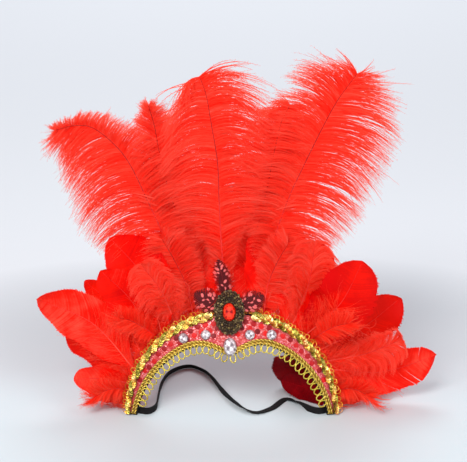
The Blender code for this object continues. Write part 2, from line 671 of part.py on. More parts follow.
def build_plume(name, plume):
    """Ostrich plume: a thin core along the quill with a comb of locks on both sides."""
    locks = LOCKS if plume["length"] > PLUME_SHORT else SHORT_LOCKS
    locks = TUFT_LOCKS if plume["layer"] is None else locks
    rows = 2 * locks + 2
    table = np.array(plume["barbs"])
    start = table[0, 0] - 0.04
    dense, edge_point = plume_spine(plume, 97)
    grid = np.linspace(0.0, 1.0, 97)
    along = np.concatenate([[0.0, 0.5 * start], np.linspace(start, 1.0, rows)])
    line = dense[1:]
    spine = np.stack([np.interp(along, grid, line[:, i]) for i in range(3)], axis=1)
    slope = np.gradient(line, axis=0)
    tangent = unit(np.stack([np.interp(along, grid, slope[:, i]) for i in range(3)], axis=1))
    spine = np.vstack([dense[:1], spine])
    tangent = np.vstack([unit(dense[1:2] - dense[:1]), tangent])
    along = np.concatenate([[-0.1], along])
    bare = along < start - 1e-6
    flat = unit(np.stack([tangent[:, 2], np.zeros(len(along)), -tangent[:, 0]], axis=1))
    reach_share = np.where(np.arange(len(along)) % 2 == 1, 1.0, LOCK_NOTCH)
    reach_share[-1] = 1.0
    columns = []
    for side, first in ((-1.0, 1), (1.0, 3)):
        across = np.interp(along, table[:, 0], table[:, first]) * plume["barb"]
        up = np.interp(along, table[:, 0], table[:, first + 1]) * plume["barb"]
        reach = np.stack([across, np.zeros(len(along)), up], axis=1)
        for share in (1.0, 0.5):
            line = barb_curve(spine, tangent, reach, side, share * reach_share)
            line[:, 1] = fan_depth(line[:, 0], line[:, 2], plume, edge_point)
            line[bare] = (spine + side * share * 0.5 * QUILL_WIDTH * flat)[bare]
            columns.append(line)
    front = np.stack([columns[0], columns[1], spine, columns[3], columns[2]], axis=1)
    depth = np.array([PLUME_EDGE_THICKNESS, PLUME_THICKNESS, PLUME_THICKNESS, PLUME_THICKNESS,
                      PLUME_EDGE_THICKNESS])
    back = front + np.array([0.0, 1.0, 0.0]) * depth[None, :, None]
    finish = "down" if plume["layer"] is None else "ostrich_feather"
    return plate(name, front, back, finish)


# Goose feathers: root angle on the band in degrees, root's share of the band's width, length,
# heading in the front view (0 up, 90 to the right), rake to the back, sideways bow and backward
# bow as shares of the length, width, and the way the vane faces (turned about the up axis)
GOOSE = {
    "goose_left_top": (-41, 0.5, 0.110, -27, 5, -0.10, 0.02, 0.056, 0),
    "goose_left_inner": (-32, 0.5, 0.080, -24, -15, -0.06, -0.04, 0.038, 0),
    "goose_left_high": (-50, 0.5, 0.092, -31, 1, -0.10, 0.0, 0.042, 0),
    "goose_left_back": (-57, 0.5, 0.096, -42, 22, -0.06, 0.10, 0.030, 0),
    "goose_left_long": (-66, 0.5, 0.121, -55, 9, -0.10, 0.04, 0.050, 0),
    "goose_left_low": (-74, 0.5, 0.056, -83, -6, -0.06, 0.0, 0.028, 0),
    "goose_right_inner": (34, 0.5, 0.090, 14, 4, 0.06, 0.02, 0.040, 0),
    "goose_right_top": (43, 0.5, 0.098, 34, -3, 0.08, -0.02, 0.061, 0),
    "goose_right_high": (54, 0.5, 0.100, 61, 16, 0.08, 0.08, 0.046, 0),
    "goose_right_long": (66, 0.5, 0.112, 86, 10, 0.12, 0.06, 0.046, 0),
}
# Feathers whose tips rest on the ground: root angle, root's share, tip across and back from the
# root, sideways bow, width, face angle
GOOSE_FEET = {
    "goose_left_foot": (-83, 0.5, -0.048, 0.026, 0.05, 0.026, 20),
    "goose_left_rear": (-68, 0.5, -0.016, 0.058, 0.10, 0.032, 30),
    "goose_right_foot": (82, 0.5, 0.040, 0.020, 0.05, 0.026, -20),
    "goose_right_side": (73, 0.5, 0.078, 0.074, 0.02, 0.030, -20),
    "goose_right_rear": (50, 0.7, -0.006, 0.056, 0.10, 0.048, 12),
}


def goose_root(degrees, share):
    """Where a side feather's quill meets the base's back, and where it leaves the base's edge."""
    angle = math.radians(degrees)
    inset = share * float(band_width(np.array(angle)))
    root = band_point(angle, inset, BEHIND_BASE)
    return root, band_point(angle, -PLUME_LIP, BEHIND_BASE - GOOSE_SETBACK)


def build_goose_feathers():
    """Side feathers that stand free, and the lowest ones, whose tips rest on the ground."""
    for name, row in GOOSE.items():
        degrees, share, length, heading, rake, bow, back_bow, width, turn = row
        root, edge = goose_root(degrees, share)
        h = math.radians(heading)
        k = math.radians(rake)
        chord = length * np.array([math.sin(h) * math.cos(k), math.sin(k), math.cos(h) * math.cos(k)])
        sideways = np.array([math.cos(h), 0.0, -math.sin(h)])
        middle = edge + 0.5 * chord + length * bow * sideways * math.copysign(1, heading)
        middle = middle + np.array([0.0, back_bow * length, 0.0])
        face = np.array([math.sin(math.radians(turn)), math.cos(math.radians(turn)), 0.0])
        leaf_feather(name, (root, edge, middle, edge + chord), face, width, GOOSE_VANE,
                     GOOSE_CUP, GOOSE_THICKNESS, GOOSE_QUILL, "goose_feather")
    for name, row in GOOSE_FEET.items():
        degrees, share, across, back, bow, width, turn = row
        root = goose_root(degrees, share)[0] + np.array([0.0, FOOT_SEAT, 0.0])
        tip = np.array([root[0] + across, root[1] + back, FOOT_CLEARANCE])
        middle = 0.5 * (root + tip) + np.array([0.0, bow * back, bow * np.linalg.norm(tip - root)])
        face = np.array([math.sin(math.radians(turn)), math.cos(math.radians(turn)), 0.3])
        leaf_feather(name, (root, middle, tip), unit(face), width, GOOSE_VANE, GOOSE_CUP,
                     GOOSE_THICKNESS, GOOSE_QUILL, "goose_feather", stands=True)


# Strap: points on the ground as shares of the arch's radius, with the strap's tilt in degrees
# (0 stands on its edge, 90 lies flat)
STRAP_ROUTE = (
    # across, back, tilt
    (-0.925, 0.030, 0), (-0.86, -0.005, 0), (-0.785, -0.015, 0), (-0.725, 0.075, 0),
    (-0.715, 0.30, 0), (-0.70, 0.57, 0), (-0.63, 0.86, 20), (-0.45, 1.03, 40), (-0.28, 0.90, 30),
    (-0.18, 0.68, 10), (-0.09, 0.42, 0), (0.06, 0.13, 30), (0.22, 0.00, 80), (0.38, 0.10, 90),
    (0.52, 0.30, 90), (0.63, 0.19, 50), (0.72, 0.05, 0), (0.82, -0.015, 0), (0.925, 0.030, 0),
)


def build_strap():
    """Flat elastic whose ends are sewn behind the band's ends. It lies in an open wave on the
    ground, partly on its edge and partly flat, always touching the ground."""
    table = np.array(STRAP_ROUTE)
    points = np.stack([table[:, 0] * ARCH_RADIUS, table[:, 1] * ARCH_RADIUS, np.zeros(len(table))], 1)
    count = 51
    dense = smooth_path(points, count)
    spacing = np.concatenate([[0.0], np.cumsum(np.linalg.norm(np.diff(points, axis=0), axis=1))])
    tilt = np.radians(np.interp(np.linspace(0, spacing[-1], count), spacing, table[:, 2]))
    tangent = unit(np.gradient(dense, axis=0))
    side = unit(np.cross(tangent, np.array([0.0, 0.0, 1.0])))
    up = np.array([0.0, 0.0, 1.0])
    wide = np.cos(tilt)[:, None] * up + np.sin(tilt)[:, None] * side
    thin = unit(np.cross(tangent, wide))
    lift = 0.5 * (STRAP_WIDTH * np.cos(tilt) + STRAP_THICKNESS * np.abs(np.sin(tilt)))
    centre = dense + (lift + FOOT_CLEARANCE)[:, None] * up
    corners = ((-0.5, -0.5), (0.5, -0.5), (0.5, 0.5), (-0.5, 0.5))
    rings = np.stack([centre + a * STRAP_WIDTH * wide + b * STRAP_THICKNESS * thin
                      for a, b in corners], axis=1)
    return loft("strap", rings, "elastic")


def place_on_origin():
    """Parent every piece to one empty, moved so that the whole stands centred on the origin."""
    pieces = [o for o in bpy.context.scene.objects if o.type == "MESH"]
    corners = []
    for piece in pieces:
        points = np.empty(3 * len(piece.data.vertices), dtype=np.float32)
        piece.data.vertices.foreach_get("co", points)
        corners += [points.reshape(-1, 3).min(axis=0), points.reshape(-1, 3).max(axis=0)]
    low = np.min(corners, axis=0)
    high = np.max(corners, axis=0)
    headdress = bpy.data.objects.new("headdress", None)
    bpy.context.collection.objects.link(headdress)
    headdress.location = (-0.5 * (low[0] + high[0]), -0.5 * (low[1] + high[1]), -low[2])
    for piece in pieces:
        piece.parent = headdress


def main():
    """Clear the scene and build every piece."""
    for item in list(bpy.context.scene.objects):
        bpy.data.objects.remove(item)
    build_band_base()
    build_band_cover()
    build_lower_gimp()
    build_upper_loops()
    build_sequin_row("sequin_braid_left", -1.0)
    build_sequin_row("sequin_braid_right", 1.0)
    build_stones()
    build_brooch()
    build_guinea_feathers()
    for name, plume in PLUMES.items():
        build_plume(name, plume)
    build_goose_feathers()
    build_strap()
    place_on_origin()


main()
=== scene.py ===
"""The looks of a carnival feather headdress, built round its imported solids.

Every new piece is a surface worked out with numpy: strands carried along curves, thin leaves
ruled by two parameters, or small forms repeated along the band. Lengths are in metres.
"""

import math

import bpy
import numpy as np
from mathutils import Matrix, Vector


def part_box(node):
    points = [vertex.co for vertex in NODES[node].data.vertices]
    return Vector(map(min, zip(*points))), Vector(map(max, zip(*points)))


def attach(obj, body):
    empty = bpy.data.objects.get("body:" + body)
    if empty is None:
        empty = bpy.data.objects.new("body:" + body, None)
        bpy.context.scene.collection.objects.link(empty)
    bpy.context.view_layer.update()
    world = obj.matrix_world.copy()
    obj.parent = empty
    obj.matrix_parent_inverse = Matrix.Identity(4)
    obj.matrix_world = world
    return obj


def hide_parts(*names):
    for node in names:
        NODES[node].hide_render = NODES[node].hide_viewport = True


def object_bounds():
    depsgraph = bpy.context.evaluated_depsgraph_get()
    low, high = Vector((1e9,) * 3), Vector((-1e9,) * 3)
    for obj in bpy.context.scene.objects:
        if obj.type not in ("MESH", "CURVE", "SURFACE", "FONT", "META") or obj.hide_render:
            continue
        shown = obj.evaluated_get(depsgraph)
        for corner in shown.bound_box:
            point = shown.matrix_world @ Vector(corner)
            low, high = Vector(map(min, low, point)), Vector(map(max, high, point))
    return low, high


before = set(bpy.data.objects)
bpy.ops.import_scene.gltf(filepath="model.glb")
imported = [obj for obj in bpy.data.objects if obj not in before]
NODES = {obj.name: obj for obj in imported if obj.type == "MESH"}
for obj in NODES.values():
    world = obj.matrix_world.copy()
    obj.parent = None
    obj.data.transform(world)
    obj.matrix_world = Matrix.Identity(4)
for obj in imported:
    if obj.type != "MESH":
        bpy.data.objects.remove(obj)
cad_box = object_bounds()
TAU = 2 * math.pi

# Band, as in the part's source: a crescent on a shallow cone that leans back
ARCH_RADIUS = 0.1055
BAND_WIDTH = 0.0275
BAND_WIDTH_END = 0.0105
PEAK_DEPTH = 0.0170
PEAK_HALF_WIDTH = 0.0300
MIDDLE_OFFSET = -0.0028
BAND_LEAN = math.radians(10.0)
BAND_FLARE = math.radians(18.0)
BASE_THICKNESS = 0.0020
COVER_THICKNESS = 0.0012
SEAT_GAP = 0.0003
BASE_INSET = 0.0012
BEHIND_BASE = -BASE_THICKNESS - SEAT_GAP
COVER_TOP = SEAT_GAP + COVER_THICKNESS
ON_COVER = COVER_TOP + SEAT_GAP
COVER_TOP_MARGIN = 0.0042
COVER_LOW_MARGIN = 0.0008
COVER_ROUNDING = 0.0009
COVER_QUILT = 0.00008
COVER_END_SHARE = 0.978
GIMP_WIDTH = 0.0056
GIMP_HEIGHT = 0.0018
GIMP_END_SHARE = 0.988
LOOP_PITCH = 0.0068
LOOP_DROP = 0.0084
LOOP_HALF_WIDTH = 0.0027
LOOP_FOOT_HALF_WIDTH = 0.0013
LOOP_END_SHARE = 0.93
TRIM_REACH = 0.0042
SEQUIN_ROW_WIDTH = 0.0072
SEQUIN_ROW_END_WIDTH = 0.0046
SEQUIN_WAVE_LENGTH = 0.0205
SEQUIN_START_ANGLE = math.radians(12.5)
SEQUIN_END_SHARE = 0.984
ROUND_STONE = 0.0100
ROUND_STONE_HEIGHT = 0.0036
OVAL_STONE_WIDTH = 0.0130
OVAL_STONE_LENGTH = 0.0180
OVAL_STONE_HEIGHT = 0.0050
BROOCH_WIDTH = 0.0285
BROOCH_LENGTH = 0.0430
BROOCH_HEIGHT = 0.0036
BROOCH_INSET = 0.0030
GUINEA_THICKNESS = 0.0007
BROOCH_RISE = ON_COVER + 3 * (GUINEA_THICKNESS + SEAT_GAP)
STRAP_WIDTH = 0.0073
STRAP_THICKNESS = 0.0010
MIDDLE_ANGLE = math.asin(MIDDLE_OFFSET / ARCH_RADIUS)

# Plumes and feathers, as in the part's source
PLUME_FRONT_CLEARANCE = 0.0100
PLUME_LAYER_STEP = 0.0056
PLUME_SWEEP = 0.0240
PLUME_CURL = 0.0160
PLUME_CURL_HEIGHT = 0.2400
PLUME_SHORT = 0.1500
TUFT_LEAN = 0.37
PLUME_THICKNESS = 0.0026
PLUME_SEAT = 0.0080
PLUME_LIP = 0.0030
GOOSE_CUP = 0.10
GOOSE_SETBACK = 0.0032
FOOT_CLEARANCE = 0.0001
FOOT_SEAT = 0.0006
FRONT_ROOM = 0.0080


# Small maths

def unit(vectors):
    """Vectors scaled to length one."""
    return vectors / np.maximum(np.linalg.norm(vectors, axis=-1, keepdims=True), 1e-12)


def ease(x):
    """A share from 0 to 1 that starts and ends gently."""
    x = np.clip(x, 0.0, 1.0)
    return x * x * (3 - 2 * x)


def length_along(line):
    """Length of a polyline up to each of its points."""
    return np.concatenate([[0.0], np.cumsum(np.linalg.norm(np.diff(line, axis=0), axis=1))])


def smooth_path(points, count):
    """Evenly spaced points on a Catmull-Rom curve through the given points."""
    p = np.asarray(points, float)
    p = np.vstack([2 * p[0] - p[1], p, 2 * p[-1] - p[-2]])
    t = np.linspace(0.0, 1.0, 17)[None, :, None]
    a, b, c, d = (p[i:len(p) - 3 + i, None] for i in range(4))
    dense = 0.5 * (2 * b + (c - a) * t + (2 * a - 5 * b + 4 * c - d) * t ** 2
                   + (3 * b - a - 3 * c + d) * t ** 3)
    dense = dense.reshape(-1, p.shape[1])
    length = length_along(dense)
    keep = np.concatenate([[True], np.diff(length) > 0])
    wanted = np.linspace(0.0, length[-1], count)
    return np.stack([np.interp(wanted, length[keep], dense[keep, i])
                     for i in range(p.shape[1])], axis=1)


def paired(first, second):
    """Two arrays spread to one shape and joined as pairs, as a UV map needs them."""
    return np.stack(np.broadcast_arrays(first, second), axis=-1)


def corner_angles(sides):
    """Angles of the corners of a ring."""
    return np.arange(sides) * TAU / sides


def sample(line, share):
    """Points on a polyline at shares of its count, from 0 to 1, for an array of any shape."""
    grid = np.linspace(0.0, 1.0, len(line))
    return np.stack([np.interp(share, grid, line[:, i]) for i in range(line.shape[1])], axis=-1)


def slope_of(line):
    """Unit direction along a polyline at each of its points."""
    return unit(np.gradient(line, axis=0))


# The band

def band_width(angle):
    """Width of the face: a crescent that thins as the cosine of the angle, plus a bell for the
    peak."""
    across = ARCH_RADIUS * np.sin(angle) - MIDDLE_OFFSET
    crescent = BAND_WIDTH_END + (BAND_WIDTH - BAND_WIDTH_END) * np.maximum(np.cos(angle), 0.0)
    return crescent + PEAK_DEPTH * np.exp(-(across / PEAK_HALF_WIDTH) ** 2)


def band_point(angle, inset, rise):
    """A point on the cone at an angle from the top, inset from the outer edge and rise above the
    felt's face."""
    angle, inset, rise = np.broadcast_arrays(angle, inset, rise)
    radius = ARCH_RADIUS - inset * math.cos(BAND_FLARE) + rise * math.sin(BAND_FLARE)
    forward = inset * math.sin(BAND_FLARE) + rise * math.cos(BAND_FLARE)
    up = radius * np.cos(angle)
    return np.stack([
        radius * np.sin(angle),
        up * math.sin(BAND_LEAN) - forward * math.cos(BAND_LEAN),
        up * math.cos(BAND_LEAN) + forward * math.sin(BAND_LEAN)], axis=-1)


def end_angle(inset, rise):
    """Angle at which a line along the band meets the ground."""
    radius = ARCH_RADIUS - inset * math.cos(BAND_FLARE) + rise * math.sin(BAND_FLARE)
    forward = inset * math.sin(BAND_FLARE) + rise * math.cos(BAND_FLARE)
    return math.acos(-math.tan(BAND_LEAN) * forward / radius)


def band_frame(angle):
    """Directions on the face: along it, down its width, and out of it."""
    step = 1e-4
    here = band_point(angle, 0.0, 0.0)
    along = unit(band_point(np.asarray(angle) + step, 0.0, 0.0) - here)
    down = unit(band_point(angle, step, 0.0) - here)
    out = unit(band_point(angle, 0.0, step) - here)
    return along, down, out


def row_shift():
    """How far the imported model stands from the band's own frame, read off the felt's box."""
    low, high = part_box("band_base")
    back = band_point(0.0, BASE_INSET, -BASE_THICKNESS)[1]
    return np.array([0.5 * (low.x + high.x), high.y - back, 0.0])


SHIFT = row_shift()
# How far forward a loose barb may come, in the band's frame
FRONT_LIMIT = cad_box[0][1] - SHIFT[1] - FRONT_ROOM


# Meshes

def fill(name, points, faces, uv=None, tone=None, smooth=True):
    """Put arrays into a mesh. faces is a list of index arrays, one for each number of corners;
    uv and tone are given by point."""
    mesh = bpy.data.meshes.new(name)
    points = np.ascontiguousarray(points, dtype=np.float32).reshape(-1, 3)
    mesh.vertices.add(len(points))
    mesh.vertices.foreach_set("co", points.ravel())
    corners = np.concatenate([f.ravel() for f in faces]).astype(np.int32)
    sizes = np.concatenate([np.full(len(f), f.shape[1], np.int32) for f in faces])
    starts = np.concatenate([[0], np.cumsum(sizes)[:-1]]).astype(np.int32)
    mesh.loops.add(len(corners))
    mesh.loops.foreach_set("vertex_index", corners)
    mesh.polygons.add(len(sizes))
    mesh.polygons.foreach_set("loop_start", starts)
    mesh.polygons.foreach_set("use_smooth", np.full(len(sizes), smooth))
    mesh.update(calc_edges=True)
    if uv is not None:
        layer = mesh.uv_layers.new(name="surface")
        layer.data.foreach_set("uv", np.asarray(uv, np.float32).reshape(-1, 2)[corners].ravel())
    if tone is not None:
        layer = mesh.attributes.new("tone", "FLOAT", "POINT")
        layer.data.foreach_set("value", np.asarray(tone, np.float32).ravel())
    mesh.validate()
    return mesh


def add_object(name, data):
    """A new object in the scene, for a mesh, camera or lamp."""
    made = bpy.data.objects.new(name, data)
    bpy.context.collection.objects.link(made)
    return made


class Parts:
    """Arrays of points and faces gathered for one mesh."""

    def __init__(self):
        self.points = []
        self.faces = {}
        self.uv = []
        self.tone = []
        self.count = 0

    def add(self, points, faces, uv=None, tone=None):
        """Append one set of arrays; missing values are filled with zeros."""
        points = np.asarray(points, float).reshape(-1, 3)
        for block in faces:
            self.faces.setdefault(block.shape[1], []).append(block + self.count)
        self.points.append(points)
        self.uv.append(np.zeros((len(points), 2)) if uv is None
                       else np.asarray(uv, float).reshape(-1, 2))
        self.tone.append(np.zeros(len(points)) if tone is None
                         else np.asarray(tone, float).ravel())
        self.count += len(points)

    def finish(self, name, material, slot, nodes=(), smooth=True, sharp=None):
        """Make the piece, in the row's frame, riding on the one body."""
        faces = [np.concatenate(blocks) for blocks in self.faces.values()]
        points = np.concatenate(self.points) + SHIFT
        mesh = fill(name, points, faces, np.concatenate(self.uv), np.concatenate(self.tone),
                    smooth)
        if sharp is not None:
            mesh.set_sharp_from_angle(angle=math.radians(sharp))
        mesh.materials.append(material)
        piece = add_object(name, mesh)
        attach(piece, "root")
        if nodes:
            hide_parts(*nodes)
        return piece


def make_piece(name, material, slot, arrays, **how):
    """A piece from one set of arrays: points, faces, and where it has them uv and tone."""
    parts = Parts()
    parts.add(*arrays)
    return parts.finish(name, material, slot, **how)


def grid_faces(rows, columns, wrap=False):
    """Quads of a grid of points, row by row, closed round its columns if it wraps."""
    i = np.arange(rows - 1)[:, None]
    j = np.arange(columns if wrap else columns - 1)[None, :]
    k = (j + 1) % columns
    return np.stack([i * columns + j, i * columns + k, (i + 1) * columns + k,
                     (i + 1) * columns + j], axis=-1).reshape(-1, 4)


def repeat_faces(faces, copies, stride):
    """The same faces for many copies of a form, each stride points further on."""
    return (faces[None] + (np.arange(copies) * stride)[:, None, None]).reshape(-1, faces.shape[1])


def end_caps(steps, sides):
    """The two faces that close a tube of rings."""
    return np.stack([np.arange(sides)[::-1], (steps - 1) * sides + np.arange(sides)])


def strands(paths, radius, sides, face=(0.0, 1.0, 0.0), ply=None):
    """Closed tubes along many curves at once. Each ring is the curve's point plus
    radius * (cos * side + sin * up), where side is square to the curve and to the face
    direction. ply is an optional radius factor by (strand, point, corner)."""
    count, steps = paths.shape[:2]
    tangent = unit(np.gradient(paths, axis=1))
    side = unit(np.cross(tangent, np.broadcast_to(face, paths.shape)))
    up = np.cross(tangent, side)
    turn = corner_angles(sides)[:, None]
    radius = np.broadcast_to(radius, (count, steps))[:, :, None, None]
    ring = np.cos(turn) * side[:, :, None] + np.sin(turn) * up[:, :, None]
    if ply is not None:
        ring = ring * ply[..., None]
    points = paths[:, :, None] + radius * ring
    quads = repeat_faces(grid_faces(steps, sides, wrap=True), count, steps * sides)
    caps = repeat_faces(end_caps(steps, sides), count, steps * sides)
    return points.reshape(-1, 3), [quads, caps]


def tube_uv(run, sides, count=1):
    """UV of many like tubes: the length along them and the angle round them."""
    return np.broadcast_to(paired(run[:, None], corner_angles(sides)), (count, len(run), sides, 2))


def ribbons(paths, half, roll):
    """Flat strips along many curves at once: each curve's point plus and minus half * side. side
    is square to the curve and turned about it by roll from the plane of the front view."""
    count, steps = paths.shape[:2]
    tangent = unit(np.gradient(paths, axis=1))
    side = unit(np.cross(tangent, np.broadcast_to((0.0, 1.0, 0.0), paths.shape)))
    up = np.cross(tangent, side)
    roll = roll[:, None, None]
    half = np.broadcast_to(half, (count, steps))[..., None]
    side = (np.cos(roll) * side + np.sin(roll) * up) * half
    points = np.stack([paths - side, paths + side], axis=2)
    return points.reshape(-1, 3), [repeat_faces(grid_faces(steps, 2), count, 2 * steps)]


def barbules(parts, paths, rng, per_barb, size, base, tones, splay=0.75):
    """Short barbules on many barbs: slim triangles that start on the barb at even shares of its
    length, alternate from side to side and lean forward: base +- heading, tip = start +
    size * unit(heading + splay * hand * side + noise)."""
    count, steps = paths.shape[:2]
    share = (np.arange(per_barb)[None, :] + rng.random((count, per_barb))) / per_barb
    share = 0.04 + 0.95 * share
    at = share * (steps - 1)
    low = np.minimum(at.astype(int), steps - 2)
    part = (at - low)[..., None]
    rows = np.arange(count)[:, None]
    start = paths[rows, low] * (1 - part) + paths[rows, low + 1] * part
    heading = unit(paths[rows, low + 1] - paths[rows, low])
    square = unit(np.cross(heading, np.array([0.0, 1.0, 0.0])))
    hand = np.where(np.arange(per_barb) % 2 == 0, 1.0, -1.0)[None, :, None]
    long = (size * (1 - 0.45 * share) * (0.65 + 0.7 * rng.random(share.shape)))[..., None]
    reach = unit(heading + splay * hand * square + rng.normal(0, 0.22, start.shape)) * long
    foot = base * heading
    slim = np.stack([start - foot, start + foot, start + reach], axis=2)
    slim[..., 2] = np.maximum(slim[..., 2], 0.0002)
    total = count * per_barb
    tone = np.clip(tones[:, None] + 0.22 * share + 0.04, 0, 1)
    parts.add(slim.reshape(-1, 3), [np.arange(3 * total).reshape(-1, 3)], None,
              np.repeat(tone.ravel(), 3))


# Materials

class Value:
    """A socket on which sums, products and comparisons add Math nodes."""

    def __init__(self, finish, socket):
        self.finish = finish
        self.socket = socket

    def math(self, operation, *others):
        """A Math node whose first input is this value."""
        return self.finish.node("ShaderNodeMath", {"operation": operation},
                                dict(enumerate((self, *others))))

    def __add__(self, other):
        return self.math("ADD", other)

    def __mul__(self, other):
        return self.math("MULTIPLY", other)

    def __sub__(self, other):
        return self.math("SUBTRACT", other)

    def __rsub__(self, other):
        return self.finish.node("ShaderNodeMath", {"operation": "SUBTRACT"}, {0: other, 1: self})

    def __gt__(self, other):
        return self.math("GREATER_THAN", other)

    __radd__ = __add__
    __rmul__ = __mul__

    def sin(self):
        """The value's sine."""
        return self.math("SINE")

    def wave(self):
        """The value's sine, brought between 0 and 1."""
        return self.sin() * 0.5 + 0.5

    def share(self):
        """The value kept between 0 and 1."""
        return self.finish.node("ShaderNodeClamp", {}, {0: self})


class Finish:
    """One material, with a Principled shader and methods that add nodes to it."""

    def __init__(self, name, **constants):
        self.material = bpy.data.materials.new(name)
        self.material.use_nodes = True
        self.nodes = self.material.node_tree.nodes
        self.links = self.material.node_tree.links
        self.shader = self.nodes["Principled BSDF"]
        self.output = self.nodes["Material Output"]
        for key, value in constants.items():
            self.put(self.shader.inputs[key.replace("_", " ")], value)

    def put(self, socket, value):
        """Link a value to a socket, or set the socket's own number or colour."""
        if isinstance(value, Value):
            self.links.new(value.socket, socket)
        elif isinstance(value, (tuple, list)) and len(value) == 3 and socket.type == "RGBA":
            socket.default_value = (*value, 1.0)
        else:
            socket.default_value = value

    def node(self, kind, settings, inputs, output=0):
        """Add a node: its settings first, then the values or links of its sockets."""
        made = self.nodes.new(kind)
        for key, value in settings.items():
            if key == "stops":
                ramp = made.color_ramp
                while len(ramp.elements) < len(value):
                    ramp.elements.new(1.0)
                for element, (place, colour) in zip(ramp.elements, value):
                    element.position = place
                    element.color = (*colour, 1.0)
            else:
                setattr(made, key, value)
        for key, value in inputs.items():
            self.put(made.inputs[key], value)
        return Value(self, made.outputs[output])

    def set(self, **sockets):
        """Feed the shader's sockets."""
        for key, value in sockets.items():
            self.put(self.shader.inputs[key.replace("_", " ")], value)

    def mix(self, first, second, factor):
        """A colour between two colours."""
        return self.node("ShaderNodeMix", {"data_type": "RGBA"}, {0: factor, 6: first, 7: second},
                         2)

    def tone(self):
        """The piece's own value from 0 to 1."""
        return self.node("ShaderNodeAttribute", {"attribute_name": "tone"}, {}, 2)

    def surface(self):
        """The piece's own UV map, in metres."""
        return self.node("ShaderNodeUVMap", {"uv_map": "surface"}, {})

    def place(self):
        """Position on the object."""
        return self.node("ShaderNodeTexCoord", {}, {}, 3)

    def axes(self, vector):
        """The three parts of a vector."""
        first = self.node("ShaderNodeSeparateXYZ", {}, {0: vector})
        return [Value(self, first.socket.node.outputs[i]) for i in range(3)]

    def noise(self, vector, scale, detail=2.0, roughness=0.5):
        """Soft noise over a vector, from 0 to 1."""
        return self.node("ShaderNodeTexNoise", {}, {
            "Vector": vector, "Scale": scale, "Detail": detail, "Roughness": roughness})

    def cells(self, vector, scale, feature="F1", randomness=1.0, output=0):
        """Cells over the flat of a UV map."""
        return self.node("ShaderNodeTexVoronoi", {
            "voronoi_dimensions": "2D", "feature": feature}, {
            "Vector": vector, "Scale": scale, "Randomness": randomness}, output)

    def ramp(self, value, *stops):
        """A colour that runs through stops of (place, colour)."""
        return self.node("ShaderNodeValToRGB", {"stops": stops}, {0: value})

    def bump(self, height, strength, distance):
        """Feed the shader's normal from a height."""
        self.set(Normal=self.node("ShaderNodeBump", {}, {
            "Height": height, "Strength": strength, "Distance": distance}))

    def let_light_through(self, colour, share):
        """Mix a translucent shader with the main one, for thin barbs and vanes."""
        thin = self.node("ShaderNodeBsdfTranslucent", {}, {"Color": colour})
        both = self.node("ShaderNodeMixShader", {}, {0: share, 1: Value(
            self, self.shader.outputs[0]), 2: thin})
        self.links.new(both.socket, self.output.inputs["Surface"])


def felt_finish():
    """Matt black felt: matted fibres as fine noise."""
    f = Finish("black_felt", Roughness=0.95, Specular_IOR_Level=0.2)
    fibre = f.noise(f.place(), 900.0, 4.0, 0.7)
    f.set(Base_Color=f.ramp(fibre, (0.3, (0.004, 0.0035, 0.004)), (0.8, (0.018, 0.016, 0.018))))
    f.bump(fibre, 0.5, 0.0004)
    return f.material


def cloth_finish():
    """Pink-red glitter cloth: a fine net over bright flecks."""
    f = Finish("glitter_cloth", Specular_IOR_Level=0.3)
    at = f.surface()
    net = f.cells(at, 620.0, "DISTANCE_TO_EDGE", 0.45)
    fleck = f.cells(at, 1500.0, output=1)
    red, green, _ = f.axes(fleck)
    cloud = f.noise(at, 150.0, 3.0)
    base = f.ramp(cloud, (0.30, (0.62, 0.036, 0.038)), (0.70, (0.86, 0.120, 0.100)))
    threads = f.mix((0.26, 0.010, 0.018), base, (net * 4.2).share())
    bright = red > 0.84
    f.set(Base_Color=f.mix(threads, (1.0, 0.40, 0.42), bright * 0.8),
          Roughness=0.60 - bright * 0.36, Metallic=bright * 0.5)
    f.bump(0.6 - net.share() + green * 0.25, 0.6, 0.0004)
    return f.material


def dot_finish():
    """Thin red spangles on the cloth, darker and lighter ones."""
    f = Finish("red_spangle", Specular_IOR_Level=0.25)
    grain = f.noise(f.place(), 1400.0, 2.0)
    colour = f.ramp(f.tone(), (0.0, (0.16, 0.001, 0.004)), (0.40, (0.44, 0.002, 0.006)),
                    (1.0, (0.86, 0.008, 0.006)))
    f.set(Base_Color=f.mix(colour, (0.07, 0.0, 0.002), (grain * 0.30).share()),
          Roughness=0.38 + grain * 0.2)
    f.bump(grain, 0.2, 0.0002)
    return f.material


def yarn_finish(name, dark, middle, light):
    """Metallic yarn: foil wound round a core, as slanting bright lines on the tube's UV map."""
    f = Finish(name, Metallic=0.80)
    along, across, _ = f.axes(f.surface())
    twist = (along * 5200.0 + across * 6.0).wave()
    grain = f.noise(f.place(), 1800.0, 2.0)
    level = (f.tone() * 0.70 + twist * 0.18 + grain * 0.22).share()
    f.set(Base_Color=f.ramp(level, (0.15, dark), (0.55, middle), (0.92, light)),
          Roughness=0.42 - twist * 0.14)
    f.bump(twist + grain * 0.5, 0.35, 0.0002)
    return f.material


def sequin_finish(name, dark, middle, light):
    """Gold sequins: bright plastic foil with fine radial lines and a few scratches."""
    f = Finish(name, Metallic=0.95, Coat_Weight=0.25, Coat_Roughness=0.08)
    across = f.axes(f.surface())[1]
    lines = (across * 20.0).wave()
    wear = f.noise(f.place(), 1100.0, 3.0)
    colour = f.ramp(f.tone(), (0.0, dark), (0.5, middle), (1.0, light))
    f.set(Base_Color=f.mix(colour, dark, (wear * 0.6 - 0.18).share()),
          Roughness=0.18 + wear * 0.20)
    f.bump(lines + wear * 0.4, 0.25, 0.0002)
    return f.material


